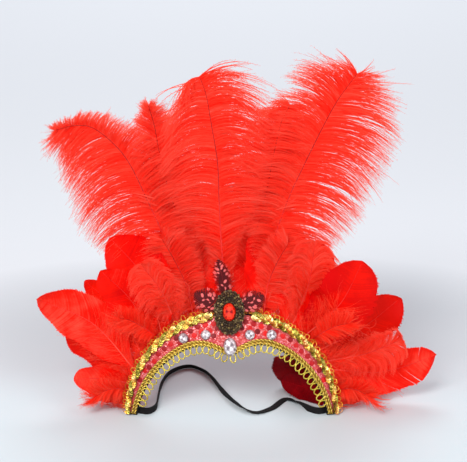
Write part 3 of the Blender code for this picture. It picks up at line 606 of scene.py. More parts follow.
def stone_finish(name, dark, middle, light, metal, coat):
    """Foil-backed cut stone: each facet has its own painted brightness, as painted reflection,
    under a clear coat.
    """
    f = Finish(name, Metallic=metal, Specular_IOR_Level=0.3, Coat_Weight=coat,
               Coat_Roughness=0.06)
    haze = f.noise(f.place(), 500.0, 2.0)
    level = (f.tone() + haze * 0.16 - 0.08).share()
    f.set(Base_Color=f.ramp(level, (0.0, dark), (0.45, middle), (0.9, light)),
          Roughness=0.18 + level * 0.45)
    return f.material


def bead_finish():
    """Seed beads in dark bronze and olive, with a dull metallic bloom."""
    f = Finish("bronze_beads", Metallic=0.7, Coat_Weight=0.5, Coat_Roughness=0.12)
    bloom = f.noise(f.place(), 700.0, 2.0)
    colour = f.ramp(f.tone(), (0.0, (0.030, 0.014, 0.008)), (0.5, (0.120, 0.072, 0.026)),
                    (0.85, (0.30, 0.21, 0.065)), (1.0, (0.62, 0.45, 0.16)))
    f.set(Base_Color=f.mix(colour, (0.060, 0.045, 0.022), (bloom - 0.3).share()),
          Roughness=0.24 + bloom * 0.2)
    f.bump(bloom, 0.2, 0.0002)
    return f.material


def backing_finish():
    """Dark felt and thread of the brooch, seen between its beads."""
    f = Finish("brooch_backing", Roughness=0.85, Specular_IOR_Level=0.2)
    thread = f.noise(f.place(), 1300.0, 3.0)
    f.set(Base_Color=f.ramp(thread, (0.3, (0.020, 0.010, 0.007)), (0.8, (0.090, 0.045, 0.022))))
    f.bump(thread, 0.5, 0.0003)
    return f.material


def barb_finish(name, deep, middle, pale, through, share):
    """Red barbs: a colour from each barb's own tone, with light passing through them."""
    f = Finish(name, Roughness=0.7, Specular_IOR_Level=0.08)
    streak = f.noise(f.place(), 240.0, 2.0)
    level = (f.tone() * 0.85 + streak * 0.3 - 0.08).share()
    colour = f.ramp(level, (0.05, deep), (0.45, middle), (0.95, pale))
    f.set(Base_Color=colour)
    f.let_light_through(through, share)
    return f.material


def vane_finish(name, deep, middle, pale, through, share, gloss=0.08):
    """A goose feather's vane: fine slanting barbs on its UV map, a slight sheen, mottled tone
    whose large soft clouds are partly painted highlight and shade.
    """
    f = Finish(name, Roughness=0.46, Specular_IOR_Level=gloss)
    along = f.axes(f.surface())[0]
    lines = (along * 9000.0).wave()
    cloud = f.noise(f.place(), 45.0, 3.0)
    streak = f.noise(f.surface(), 520.0, 2.0)
    # The large clouds of paler and deeper tone are partly the vane's own mottling, partly painted
    # highlight and shade.
    level = (f.tone() + cloud * 1.05 + streak * 0.22 + lines * 0.06 - 0.70).share()
    f.set(Base_Color=f.ramp(level, (0.10, deep), (0.5, middle), (0.92, pale)))
    f.bump(lines * 0.6 + streak, 0.30, 0.0004)
    f.let_light_through(through, share)
    return f.material


def quill_finish(name, low, high):
    """A quill: paler horn at its root, darker towards its tip, with fine lengthwise grain."""
    f = Finish(name, Roughness=0.40, Specular_IOR_Level=0.4)
    grain = f.noise(f.place(), 700.0, 2.0)
    f.set(Base_Color=f.ramp((f.tone() + grain * 0.15 - 0.07).share(), (0.0, low), (1.0, high)))
    f.bump(grain, 0.15, 0.0002)
    return f.material


def guinea_finish():
    """Guinea-fowl vane: near-black brown with uneven pale dyed spots."""
    f = Finish("guinea_vane", Roughness=0.65, Specular_IOR_Level=0.10)
    at = f.surface()
    spot = f.cells(at, 170.0, randomness=0.80)
    size = f.axes(f.cells(at, 170.0, randomness=0.80, output=1))[0]
    cloud = f.noise(f.place(), 300.0, 2.0)
    ground = f.ramp((f.tone() + cloud * 0.4 - 0.2).share(), (0.0, (0.024, 0.003, 0.004)),
                    (0.6, (0.090, 0.008, 0.010)), (1.0, (0.32, 0.020, 0.022)))
    edge = ((0.18 + size * 0.17 + cloud * 0.12 - spot) * 12.0).share()
    f.set(Base_Color=f.mix(ground, (0.76, 0.145, 0.140), edge))
    f.bump(edge + cloud * 0.5, 0.15, 0.0003)
    return f.material


def elastic_finish():
    """Woven black elastic: lengthwise rubber ribs crossed by fine picks."""
    f = Finish("black_elastic", Roughness=0.85, Specular_IOR_Level=0.2)
    along, across, _ = f.axes(f.surface())
    ribs = (across * 5200.0).wave()
    picks = (along * 7600.0).wave()
    weave = ribs * 0.7 + picks * 0.3
    f.set(Base_Color=f.ramp(weave, (0.1, (0.003, 0.0025, 0.003)), (0.9, (0.014, 0.012, 0.013))))
    f.bump(weave, 0.7, 0.0003)
    return f.material


def floor_painted_shade_finish():
    """Pale floor with a painted shadow that deepens round and behind the object's place, and a
    less red patch painted in front of it against the red light thrown back by the feathers.
    """
    f = Finish("pale_floor_painted_shade", Roughness=0.9, Specular_IOR_Level=0.1)
    cloud = f.noise(f.place(), 3.0, 2.0)
    across, back, _ = f.axes(f.place())
    away = back - 0.15
    # Painted shadow: the colour deepens towards a point just behind the object.
    level = (across * across * 5.0 + away * away * 11.0 + cloud * 0.2 - 0.1).share()
    wide = f.ramp(level, (0.0, (0.480, 0.500, 0.530)), (1.0, (0.745, 0.765, 0.800)))
    # Painted light: a less red, bluer patch in front of the object, against the red light thrown
    # back by the feathers.
    front = (((0.06 - back) * 7.0).share() * ((back + 0.42) * 5.0).share()
             * (1.4 - across * across * 6.0).share())
    f.set(Base_Color=f.mix(wide, (0.592, 0.672, 0.705), front))
    return f.material


FELT = felt_finish()
CLOTH = cloth_finish()
SPANGLE = dot_finish()
GOLD = yarn_finish("gold_yarn", (0.12, 0.055, 0.005), (0.50, 0.30, 0.030), (0.92, 0.67, 0.17))
LOOP_GOLD = yarn_finish("loop_yarn", (0.24, 0.17, 0.010), (0.60, 0.46, 0.040),
                        (0.94, 0.82, 0.20))
ORANGE_GOLD = yarn_finish("orange_gold_yarn", (0.30, 0.05, 0.003), (0.80, 0.26, 0.015),
                          (1.0, 0.60, 0.09))
SEQUIN = sequin_finish("gold_sequin_foil", (0.42, 0.20, 0.02), (0.80, 0.45, 0.07),
                       (1.0, 0.74, 0.27))
OLIVE_SEQUIN = sequin_finish("olive_sequin_foil", (0.14, 0.115, 0.008), (0.36, 0.29, 0.03),
                             (0.70, 0.56, 0.12))
CLEAR = stone_finish("clear_stone_foil", (0.17, 0.14, 0.16), (0.42, 0.32, 0.35),
                     (0.86, 0.85, 0.88), 0.20, 0.30)
RED = stone_finish("red_stone_foil", (0.20, 0.0, 0.0), (0.86, 0.006, 0.001),
                   (1.0, 0.050, 0.012), 0.10, 0.08)
BEADS = bead_finish()
BACKING = backing_finish()
OSTRICH = barb_finish("ostrich_barbs", (0.90, 0.014, 0.005), (1.0, 0.078, 0.040),
                      (1.0, 0.215, 0.145), (1.0, 0.130, 0.070), 0.58)
DOWN = barb_finish("goose_down", (1.0, 0.010, 0.003), (1.0, 0.058, 0.022),
                   (1.0, 0.170, 0.100), (1.0, 0.090, 0.040), 0.5)
GOOSE = vane_finish("goose_vane", (0.64, 0.0, 0.001), (1.0, 0.007, 0.001),
                    (1.0, 0.115, 0.070), (1.0, 0.022, 0.006), 0.32)
# The goose vane's red painted dark: painted shade for the feathers that hang behind the band.
GOOSE_PAINTED_SHADE = vane_finish("goose_vane_painted_shade", (0.08, 0.0, 0.002), (0.22, 0.0, 0.003),
                         (0.42, 0.002, 0.006), (0.25, 0.0, 0.002), 0.15, 0.06)
OSTRICH_QUILL = quill_finish("ostrich_quill", (0.80, 0.025, 0.018), (0.34, 0.004, 0.004))
GOOSE_QUILL = quill_finish("goose_quill", (1.0, 0.12, 0.08), (0.80, 0.008, 0.004))
GUINEA = guinea_finish()
ELASTIC = elastic_finish()


# Band, cloth and trims

# Spangles on the cloth: insets of their rows, pitch along a row, the width that the braid takes,
# the least room between that and a spangle's centre, and radius
SPANGLE_ROWS = (0.0115, 0.0174, 0.0233)
SPANGLE_PITCH = 0.0079
SPANGLE_MARGIN = 0.0052
SPANGLE_ROOM = 0.0022
SPANGLE_RADIUS = 0.0027
# Profiles of small round forms: share of the radius, height
SPANGLE_PROFILE = ((0.0001, 0.0), (1.0, 0.0), (1.0, 0.00008), (0.90, 0.00018), (0.50, 0.00024),
                   (0.0001, 0.00026))
SEQUIN_PROFILE = ((0.17, 0.00012), (0.55, 0.00012), (1.0, 0.00060), (1.0, 0.00048),
                  (0.17, -0.00004))
BEAD_PROFILE = ((0.36, 0.00044), (0.80, 0.00076), (1.0, 0.0), (0.80, -0.00076),
                (0.36, -0.00044))
# Two strings of sequins: name, side of the wave, foil, radius and mean tone
SEQUIN_STRINGS = (("bright", 1.0, SEQUIN, 0.0031, 0.55),
                  ("olive", -1.0, OLIVE_SEQUIN, 0.0028, 0.50))
# How far a string swings from the middle of the row
SEQUIN_SWING = 0.0022
# Cords of the lower braid: place across it, hand of the twist, radius, lift, lowest tone, in the
# painted shade of the grooves, and how far the tone rises from that on the ribs
GIMP_CORDS = ((0.18, 1, 0.00108, 0.0, 0.10, 0.85), (0.50, -1, 0.00088, -0.0003, 0.0, 0.42),
              (0.82, 1, 0.00108, 0.0, 0.10, 0.85))
# Outline of an open loop: distance across, share of its drop
LOOP_SHAPE = (
    (-1.9 * LOOP_FOOT_HALF_WIDTH, -0.30), (-0.9 * LOOP_FOOT_HALF_WIDTH, -0.10),
    (-0.80 * LOOP_HALF_WIDTH, 0.16), (-1.10 * LOOP_HALF_WIDTH, 0.48),
    (-0.78 * LOOP_HALF_WIDTH, 0.82), (0.0, 0.97), (0.78 * LOOP_HALF_WIDTH, 0.82),
    (1.10 * LOOP_HALF_WIDTH, 0.48), (0.80 * LOOP_HALF_WIDTH, 0.16),
    (0.9 * LOOP_FOOT_HALF_WIDTH, -0.10), (1.9 * LOOP_FOOT_HALF_WIDTH, -0.30))
# Radius of the yarn in the lower loops and in the upper ones
LOOP_YARN = 0.00062
TRIM_YARN = 0.00036
# Beads of the brooch: shares of the way from its stone to its edge at which their rings lie,
# pitch along a ring, radius, and the number of bead loops round the edge
BEAD_RINGS = (0.06, 0.30, 0.55, 0.80)
BEAD_PITCH = 0.00235
BEAD_RADIUS = 0.00125
BEAD_LOOPS = 24


def lay_cover():
    """Cloth over the felt: a grid of (angle, inset) with its edges turned down, and a slight
    quilting where the net is glued. The height is COVER_TOP less a rounding at the two edges."""
    across = np.linspace(0.0, 1.0, 15)
    angle = np.linspace(-COVER_END_SHARE, COVER_END_SHARE, 241)[:, None] * end_angle(0.02, 0.0)
    low = band_width(angle) - COVER_LOW_MARGIN
    depth = COVER_TOP_MARGIN + (low - COVER_TOP_MARGIN) * across
    edge = np.minimum(across, 1 - across)
    rise = COVER_TOP - COVER_ROUNDING * (1 - ease(edge * 9)) + COVER_QUILT * np.sin(angle * 260)
    top = band_point(angle, depth, rise)
    bottom = band_point(angle, depth, SEAT_GAP)
    uv = paired(angle * ARCH_RADIUS, depth)
    rows, columns = depth.shape
    faces = grid_faces(rows, columns)
    half = rows * columns
    ring = np.concatenate([np.arange(columns), np.arange(1, rows) * columns + columns - 1,
                           (rows - 1) * columns + np.arange(columns - 2, -1, -1),
                           np.arange(rows - 2, 0, -1) * columns])
    after = np.roll(ring, -1)
    wall = np.stack([after, ring, ring + half, after + half], axis=1)
    piece = make_piece("glitter_cover", CLOTH, "cover_cloth",
                       (np.stack([top, bottom]), [faces, faces[:, ::-1] + half, wall],
                        np.stack([uv, uv])), nodes=["band_cover"])


def discs(centres, across, up, out, radius, profile, sides, tone):
    """Many round forms at once. profile is rows of (share of the radius, height); each row is a
    ring about the centre, and the last row closes on the first, so each form is one body. A
    profile that starts on top has its faces turned. tone is given by form."""
    turn = corner_angles(sides)
    rows = np.array(profile)
    steps, count = len(rows), len(centres)
    radius = np.broadcast_to(radius, (count,))[:, None, None, None]
    flat = (np.cos(turn)[:, None] * across[:, None, None]
            + np.sin(turn)[:, None] * up[:, None, None])
    ring = (centres[:, None, None] + radius * rows[None, :, None, :1] * flat
            + rows[None, :, None, 1:] * out[:, None, None])
    i = np.arange(steps)[:, None]
    j = np.arange(sides)[None, :]
    k = (j + 1) % sides
    n = (i + 1) % steps
    body = np.stack([i * sides + j, i * sides + k, n * sides + k, n * sides + j],
                    axis=-1).reshape(-1, 4)
    if rows[0, 1] > rows[-1, 1]:
        body = body[:, ::-1]
    uv = paired(rows[:, :1] * 0.003, turn)
    return (ring.reshape(-1, 3), [repeat_faces(body, count, steps * sides)],
            np.broadcast_to(uv, (count, *uv.shape)), np.repeat(tone, steps * sides))


def lay_dots():
    """Round flat spangles in staggered rows on the cloth. Row and column numbers give the angle
    and the inset; a dot is kept where the cloth is wide enough for it. One more row runs down
    the middle of each narrow end."""
    rng = np.random.default_rng(4)
    spots = []
    for row, inset in enumerate(SPANGLE_ROWS):
        step = np.arange(-21, 22) + 0.5 * (row % 2)
        angle = step * SPANGLE_PITCH / (ARCH_RADIUS - inset) + MIDDLE_OFFSET / ARCH_RADIUS
        inset = inset + 0.0007 * np.sin(step * 2.1)
        room = band_width(angle) - SPANGLE_MARGIN - inset
        keep = (room > SPANGLE_ROOM) & (np.abs(angle) < 1.40)
        spots.append(np.stack([angle[keep], inset[keep]], 1))
    ends = np.linspace(-1.2, 1.2, 23)
    ends = ends[np.abs(ends) > 1.0]
    spots.append(np.stack([ends, 0.42 * band_width(ends) + 0.0012], 1))
    angle, inset = np.concatenate(spots).T
    along, down, out = band_frame(angle)
    tilt = rng.normal(0.0, 0.03, (len(angle), 2))
    out = unit(out + tilt[:, :1] * along + tilt[:, 1:] * down)
    centre = band_point(angle, inset, COVER_TOP + 0.00005)
    down = unit(np.cross(out, along))
    tone = rng.random(len(angle)) ** 1.4
    make_piece("cover_spangles", SPANGLE, "cover_cloth",
               discs(centre, along, down, out, SPANGLE_RADIUS, SPANGLE_PROFILE, 12, tone),
               sharp=40)


def even_angles(share, count, inset_of, rise):
    """Angles at even steps of length along a line on the band."""
    dense = np.linspace(-share, share, 3001) * end_angle(float(inset_of(math.pi / 2)), 0.0)
    run = length_along(band_point(dense, inset_of(dense), rise))
    return np.interp(np.linspace(0.0, run[-1], count), run, dense)


def gimp_width(angle):
    """The lower braid narrows a little towards the band's ends."""
    return GIMP_WIDTH * (0.78 + 0.22 * np.maximum(np.cos(angle), 0.0))


def twisted_tube(path, out, radius, sides, pitch, depth, hand):
    """A cord of two plies along one path: a tube whose radius swells with
    cos(2 * corner angle - run / pitch), so its ribs wind round it. Its tone follows the swell, so
    the grooves between the ribs are painted darker as shade and the ribs lighter."""
    run = length_along(path)
    ply = 1 + depth * np.cos(2 * corner_angles(sides) * hand - TAU * run[:, None] / pitch)
    points, faces = strands(path[None], radius, sides, out[None], ply[None])
    return points, faces, tube_uv(run, sides), np.clip((ply - 1) / depth * 0.5 + 0.5, 0, 1)


def set_out(root, along, down, out, x, y, z):
    """Curves at distances x, y and z from their roots, along the three directions."""
    return (root[:, None] + x[..., None] * along[:, None] + y[..., None] * down[:, None]
            + z[..., None] * out[:, None])


def lay_lower_gimp():
    """Lower braid: three twisted cords side by side along the edge, the middle one thinner,
    darker and wound the other way."""
    parts = Parts()
    count = 560
    for share, hand, radius, lift, low, span in GIMP_CORDS:
        def inset_of(a, share=share):
            return band_width(a) - (1 - share) * gimp_width(a)
        angle = even_angles(GIMP_END_SHARE, count, inset_of, ON_COVER)
        rise = ON_COVER + 0.00085 + lift + 0.00012 * np.sin(np.arange(count) * 0.8 + share * 20)
        path = band_point(angle, inset_of(angle), rise)
        points, faces, uv, tone = twisted_tube(path, band_frame(angle)[2], radius, 8, 0.0040,
                                               0.34, hand)
        # Each cord's tone rises from its lowest with the swell of its ribs: painted shade in the
        # grooves.
        parts.add(points, faces, uv, low + span * tone)
    parts.finish("lower_gimp_cords", GOLD, "gold_braid", ["lower_gimp"])


def lay_lower_loops():
    """The fringe under the lower braid: open loops of twisted yarn whose feet cross under it.
    Each is the outline LOOP_SHAPE, made a little wider, longer and more slanting at random."""
    rng = np.random.default_rng(7)
    dense = np.linspace(-LOOP_END_SHARE, LOOP_END_SHARE, 2001) * math.pi / 2
    run = length_along(band_point(dense, band_width(dense), 0.0))
    count = int(round(run[-1] / LOOP_PITCH))
    angle = np.interp((np.arange(count) + 0.5) * run[-1] / count, run, dense)
    rise = ON_COVER + 0.5 * GIMP_HEIGHT
    before, edge, after = (band_point(a, band_width(a), rise)
                           for a in (angle - 0.01, angle, angle + 0.01))
    along = unit(after - before)
    _, inward, out = band_frame(angle)
    down = unit(np.cross(along, out))
    down = down * np.sign(np.sum(down * inward, axis=1))[:, None]
    steps, sides = 31, 7
    shape = smooth_path(LOOP_SHAPE, steps)
    wide = 1 + rng.normal(0, 0.06, count)
    drop = LOOP_DROP * (0.98 + rng.normal(0, 0.04, count))
    lean = rng.normal(0, 0.0005, count)
    x = shape[None, :, 0] * wide[:, None] + lean[:, None] * shape[None, :, 1]
    y = shape[None, :, 1] * drop[:, None]
    z = 0.0005 * np.linspace(-1, 1, steps) * (1 - ease(shape[:, 1] * 2.5))
    arc = np.linspace(0.0, 0.024, steps)
    ply = 1 + 0.20 * np.cos(2 * corner_angles(sides) - TAU * arc[:, None] / 0.0024)
    ply = np.broadcast_to(ply, (count, steps, sides))
    points, faces = strands(set_out(edge, along, down, out, x, y, z[None]), LOOP_YARN, sides,
                            out[:, None], ply)
    # The tone rises with the twist's swell: the grooves are painted darker as shade, the ribs
    # lighter; each loop is shifted at random.
    tone = np.clip((ply - 1) * 1.6 + 0.55 + rng.normal(0, 0.10, (count, 1, 1)), 0, 1)
    make_piece("lower_loops", LOOP_GOLD, "gold_braid",
               (points, faces, tube_uv(arc, sides, count), tone))


def lay_upper_loops():
    """Upper trim: a thin braid under the sequins and small irregular loops of fine yarn that
    stand out beyond the felt's edge. Each loop is an oval whose feet are on the braid."""
    rng = np.random.default_rng(11)
    parts = Parts()
    for inset, hand in ((0.0006, 1), (0.0020, -1)):
        angle = even_angles(COVER_END_SHARE, 380, lambda _, inset=inset: inset, ON_COVER)
        path = band_point(angle, inset, ON_COVER - 0.0004)
        points, faces, uv, tone = twisted_tube(path, band_frame(angle)[2], 0.00072, 6, 0.0030,
                                               0.30, hand)
        # The braid's tone follows its ribs: painted shade in the grooves.
        parts.add(points, faces, uv, 0.15 + 0.6 * tone)
    count, steps, sides = 84, 19, 5
    angle = np.linspace(-COVER_END_SHARE, COVER_END_SHARE, count) * math.pi / 2
    angle = angle + rng.normal(0, 0.006, count)
    root = band_point(angle, 0.0012, ON_COVER - 0.0002)
    turn = np.linspace(0.0, 1.0, steps)
    x = 0.0021 * np.sin(TAU * turn) * (1 + rng.normal(0, 0.20, count))[:, None]
    y = 0.5 * (1 - np.cos(TAU * turn)) * (
        TRIM_REACH + 0.0010 + rng.normal(0, 0.0009, count))[:, None]
    x = x + y * rng.normal(0, 0.22, count)[:, None]
    z = 0.0006 * np.sin(TAU * turn) + y * rng.normal(0.05, 0.10, count)[:, None]
    along, down, out = band_frame(angle)
    points, faces = strands(set_out(root, along, down, out, x, -y, z), TRIM_YARN, sides,
                            out[:, None])
    tone = np.repeat(0.25 + 0.7 * rng.random(count), steps * sides)
    parts.add(points, faces, tube_uv(turn * 0.012, sides, count), tone)
    parts.finish("upper_loop_yarn", ORANGE_GOLD, "gold_braid", ["upper_loops"])


def lay_sequins(side, side_name):
    """Sequin braid: two strings of cupped sequins that cross each other. Their centres follow
    sine waves of opposite sign, the one on top changes at each crossing, and each sequin lies
    on the next like a scale. One string is bright gold, the other olive gold."""
    rng = np.random.default_rng(21 if side < 0 else 22)
    last = SEQUIN_END_SHARE * math.pi / 2
    count = 70
    fade = np.linspace(0.0, 1.0, count)
    angle = SEQUIN_START_ANGLE + (last - SEQUIN_START_ANGLE) * fade
    phase = TAU * ARCH_RADIUS * (angle - SEQUIN_START_ANGLE) / SEQUIN_WAVE_LENGTH + 0.9 * side
    width = SEQUIN_ROW_WIDTH + (SEQUIN_ROW_END_WIDTH - SEQUIN_ROW_WIDTH) * fade
    out = band_frame(side * angle)[2]
    for name, hand, material, radius, mean in SEQUIN_STRINGS:
        inset = 0.5 * width + 0.0006 + hand * SEQUIN_SWING * (1 - 0.38 * fade) * np.sin(phase)
        rise = ON_COVER + 0.0013 + hand * 0.0009 * np.cos(phase) + 0.00025 * (np.arange(count) % 2)
        centre = band_point(side * angle, inset, rise)
        ahead = unit(np.gradient(centre, axis=0))
        lean = 0.22 + rng.normal(0, 0.10, count)
        roll = rng.normal(0, 0.18, count) + 0.26 * hand * np.cos(phase)
        across = unit(np.cross(out, ahead))
        normal = unit(out - lean[:, None] * ahead + roll[:, None] * across)
        first = unit(ahead - np.sum(ahead * normal, axis=1, keepdims=True) * normal)
        tone = mean + rng.normal(0, 0.26, count) + 0.20 * np.exp(-fade * 14)
        make_piece(f"sequins_{name}_{side_name}", material, "gold_sequin",
                   discs(centre, first, np.cross(normal, first), normal,
                         radius * (1 - 0.28 * fade), SEQUIN_PROFILE, 11, np.clip(tone, 0, 1)),
                   nodes=[f"sequin_braid_{side_name}"], sharp=35)


def cut_stone(name, material, slot, node, middle, frame_of, size, height, sides, rng):
    """A brilliant-cut stone: table, star, kite and girdle facets, each painted its own brightness,
    as painted reflection.
    Rings at shares of the radius are joined by flat triangles; no two facets share a point."""
    along, down, out = frame_of
    turn = corner_angles(sides)
    step = 0.5 * TAU / sides

    def ring(share, up, shift):
        return (middle + np.outer(share * 0.5 * size[0] * np.cos(turn + shift), along)
                + np.outer(share * 0.5 * size[1] * np.sin(turn + shift), down) + up * out)

    base = ring(0.97, 0.0, 0.0)
    girdle = ring(1.0, 0.24 * height, 0.0)
    kite = ring(0.84, 0.66 * height, step)
    table = ring(0.56, height, 0.0)
    j = np.arange(sides)
    k = (j + 1) % sides
    top = np.broadcast_to(middle + height * out, (sides, 3))
    foot = np.broadcast_to(middle, (sides, 3))
    # Three corners of each facet, and its mean painted brightness, as painted reflection; the
    # table's goes round in a wave
    facets = (
        (girdle[j], girdle[k], kite[j], 0.55), (girdle[k], kite[k], kite[j], 0.35),
        (kite[j], kite[k], table[k], 0.60), (kite[j], table[k], table[j], 0.70),
        (table[j], table[k], top, None), (base[j], base[k], girdle[k], 0.25),
        (base[j], girdle[k], girdle[j], 0.25), (base[k], base[j], foot, 0.2))
    parts = Parts()
    for *points, mean in facets:
        block = np.stack(points, 1)
        normal = np.cross(block[:, 1] - block[:, 0], block[:, 2] - block[:, 0])
        away = block.mean(axis=1) - (middle + 0.3 * height * out)
        inward = np.sum(normal * away, axis=1) < 0
        block[inward] = block[inward][:, ::-1]
        if mean is None:
            tone = 0.5 + 0.5 * np.sin(turn * 2 + rng.random() * 6)
        else:
            tone = mean + rng.normal(0, 0.30, sides)
        parts.add(block, [np.arange(3 * sides).reshape(-1, 3)], None,
                  np.repeat(np.clip(tone, 0, 1), 3))
    parts.finish(name, material, slot, [node], smooth=False)


# Round stones: angle in degrees, and gap to the braid
ROUND_STONES = (("stone_round_1", -31.5, 0.0004), ("stone_round_2", -17.5, 0.0018),
                ("stone_round_3", 12.0, 0.0022), ("stone_round_4", 25.5, 0.0004))


def set_stones():
    """Four round stones on the cloth, an oval one on the peak and the brooch's red one."""
    rng = np.random.default_rng(5)
    for name, degrees, gap in ROUND_STONES:
        angle = math.radians(degrees)
        inset = float(band_width(angle) - gimp_width(angle)) - gap - 0.5 * ROUND_STONE
        cut_stone(name + "_cut", CLEAR, "clear_stone", name, band_point(angle, inset, ON_COVER),
                  band_frame(angle), (ROUND_STONE, ROUND_STONE), ROUND_STONE_HEIGHT, 12, rng)
    frame_of = band_frame(MIDDLE_ANGLE)
    inset = float(band_width(MIDDLE_ANGLE)) - 0.42 * OVAL_STONE_LENGTH
    on_peak = band_point(MIDDLE_ANGLE, inset, ON_COVER + GIMP_HEIGHT + SEAT_GAP)
    in_brooch = band_point(MIDDLE_ANGLE, BROOCH_INSET, BROOCH_RISE) + (
        0.0010 + SEAT_GAP) * frame_of[2]
    for material, slot, node, middle in ((CLEAR, "clear_stone", "stone_oval", on_peak),
                                         (RED, "red_stone", "brooch_stone", in_brooch)):
        cut_stone(node + "_cut", material, slot, node, middle, frame_of,
                  (OVAL_STONE_WIDTH, OVAL_STONE_LENGTH), OVAL_STONE_HEIGHT, 14, rng)


def sew_beads():
    """Seed beads in rings round the brooch's stone, and small bead loops round its edge. Rings
    are ellipses over the domed top; a loop is a half ring of beads standing out of the edge.
    Each bead is a small barrel with a hole, turned at random."""
    rng = np.random.default_rng(9)
    along, down, out = band_frame(MIDDLE_ANGLE)
    semi = np.array([0.5 * OVAL_STONE_WIDTH + 0.0011, 0.5 * OVAL_STONE_LENGTH + 0.0012])
    full = np.array([0.5 * BROOCH_WIDTH, 0.5 * BROOCH_LENGTH]) - 0.0010
    spots = []
    for k, share in enumerate(BEAD_RINGS):
        size = semi + (full - semi) * share
        dense = np.linspace(0, TAU, 721)
        run = length_along(size * np.stack([np.cos(dense), np.sin(dense)], 1))
        count = int(run[-1] / BEAD_PITCH)
        turn = np.interp((np.arange(count) + 0.5 * (k % 2)) * run[-1] / count, run, dense)
        lift = BROOCH_HEIGHT * (0.50 + 0.62 * np.sin(math.pi * (0.10 + 0.80 * share)))
        spots.append(np.stack([size[0] * np.cos(turn), size[1] * np.sin(turn),
                               np.full(count, lift)], 1))
    turn = (np.arange(BEAD_LOOPS) + 0.5) * TAU / BEAD_LOOPS
    bend = np.linspace(-1.25, 1.25, 5)
    heart = np.stack([full[0] * 0.93 * np.cos(turn), full[1] * 0.93 * np.sin(turn)], 1)
    away = unit(np.stack([np.cos(turn) / full[0], np.sin(turn) / full[1]], 1))
    beside = np.stack([-away[:, 1], away[:, 0]], 1)
    size = 0.0020 * (1 + 0.2 * rng.random(BEAD_LOOPS))[:, None, None]
    ring = heart[:, None] + size * (np.cos(bend)[None, :, None] * away[:, None]
                                    + np.sin(bend)[None, :, None] * beside[:, None])
    lift = np.full((BEAD_LOOPS, 5, 1), 0.0011)
    spots.append(np.concatenate([ring, lift], axis=2).reshape(-1, 3))
    spots = np.concatenate(spots)
    spots = spots + rng.normal(0, 0.00024, spots.shape)
    count = len(spots)
    place = (band_point(MIDDLE_ANGLE, BROOCH_INSET, BROOCH_RISE) + spots[:, :1] * along
             + spots[:, 1:2] * down + spots[:, 2:] * out)
    axis = unit(rng.normal(0, 1, (count, 3)) + 0.3 * out)
    first = unit(np.cross(axis, rng.normal(0, 1, (count, 3))))
    size = BEAD_RADIUS * (1 + rng.normal(0, 0.12, count))
    make_piece("brooch_beads", BEADS, "bronze_bead",
               discs(place, first, np.cross(axis, first), axis, size, BEAD_PROFILE, 8,
                     rng.random(count) ** 1.5))


# Feathers

# How each kind of plume is grown: barbs on a side, points of a barb, locks on a side, spread in
# depth, waver, barbules on a barb and their length, the quill's radius and a factor that slims it
PLUME_KINDS = {
    "long": dict(per_side=1000, steps=9, locks=44, spread=0.0080, wave=0.014, barbules=19,
                 reach=0.0034, quill=0.00100, slim=1.0),
    "short": dict(per_side=600, steps=8, locks=20, spread=0.0050, wave=0.05, barbules=15,
                  reach=0.0027, quill=0.0007, slim=1.0),
    "tuft": dict(per_side=240, steps=8, locks=8, spread=0.0050, wave=0.05, barbules=13,
                 reach=0.0027, quill=0.0007, slim=0.7),
}
# Half width of a barb at its root, its least half width, and the share of barbs that go astray
BARB_HALF = 0.00044
BARB_FINEST = 0.00005
STRAY_SHARE = 0.06
# Half width of a strand of down at its root, and the lowest that its line may hang
DOWN_HALF = 0.00023
DOWN_FLOOR = 0.0006
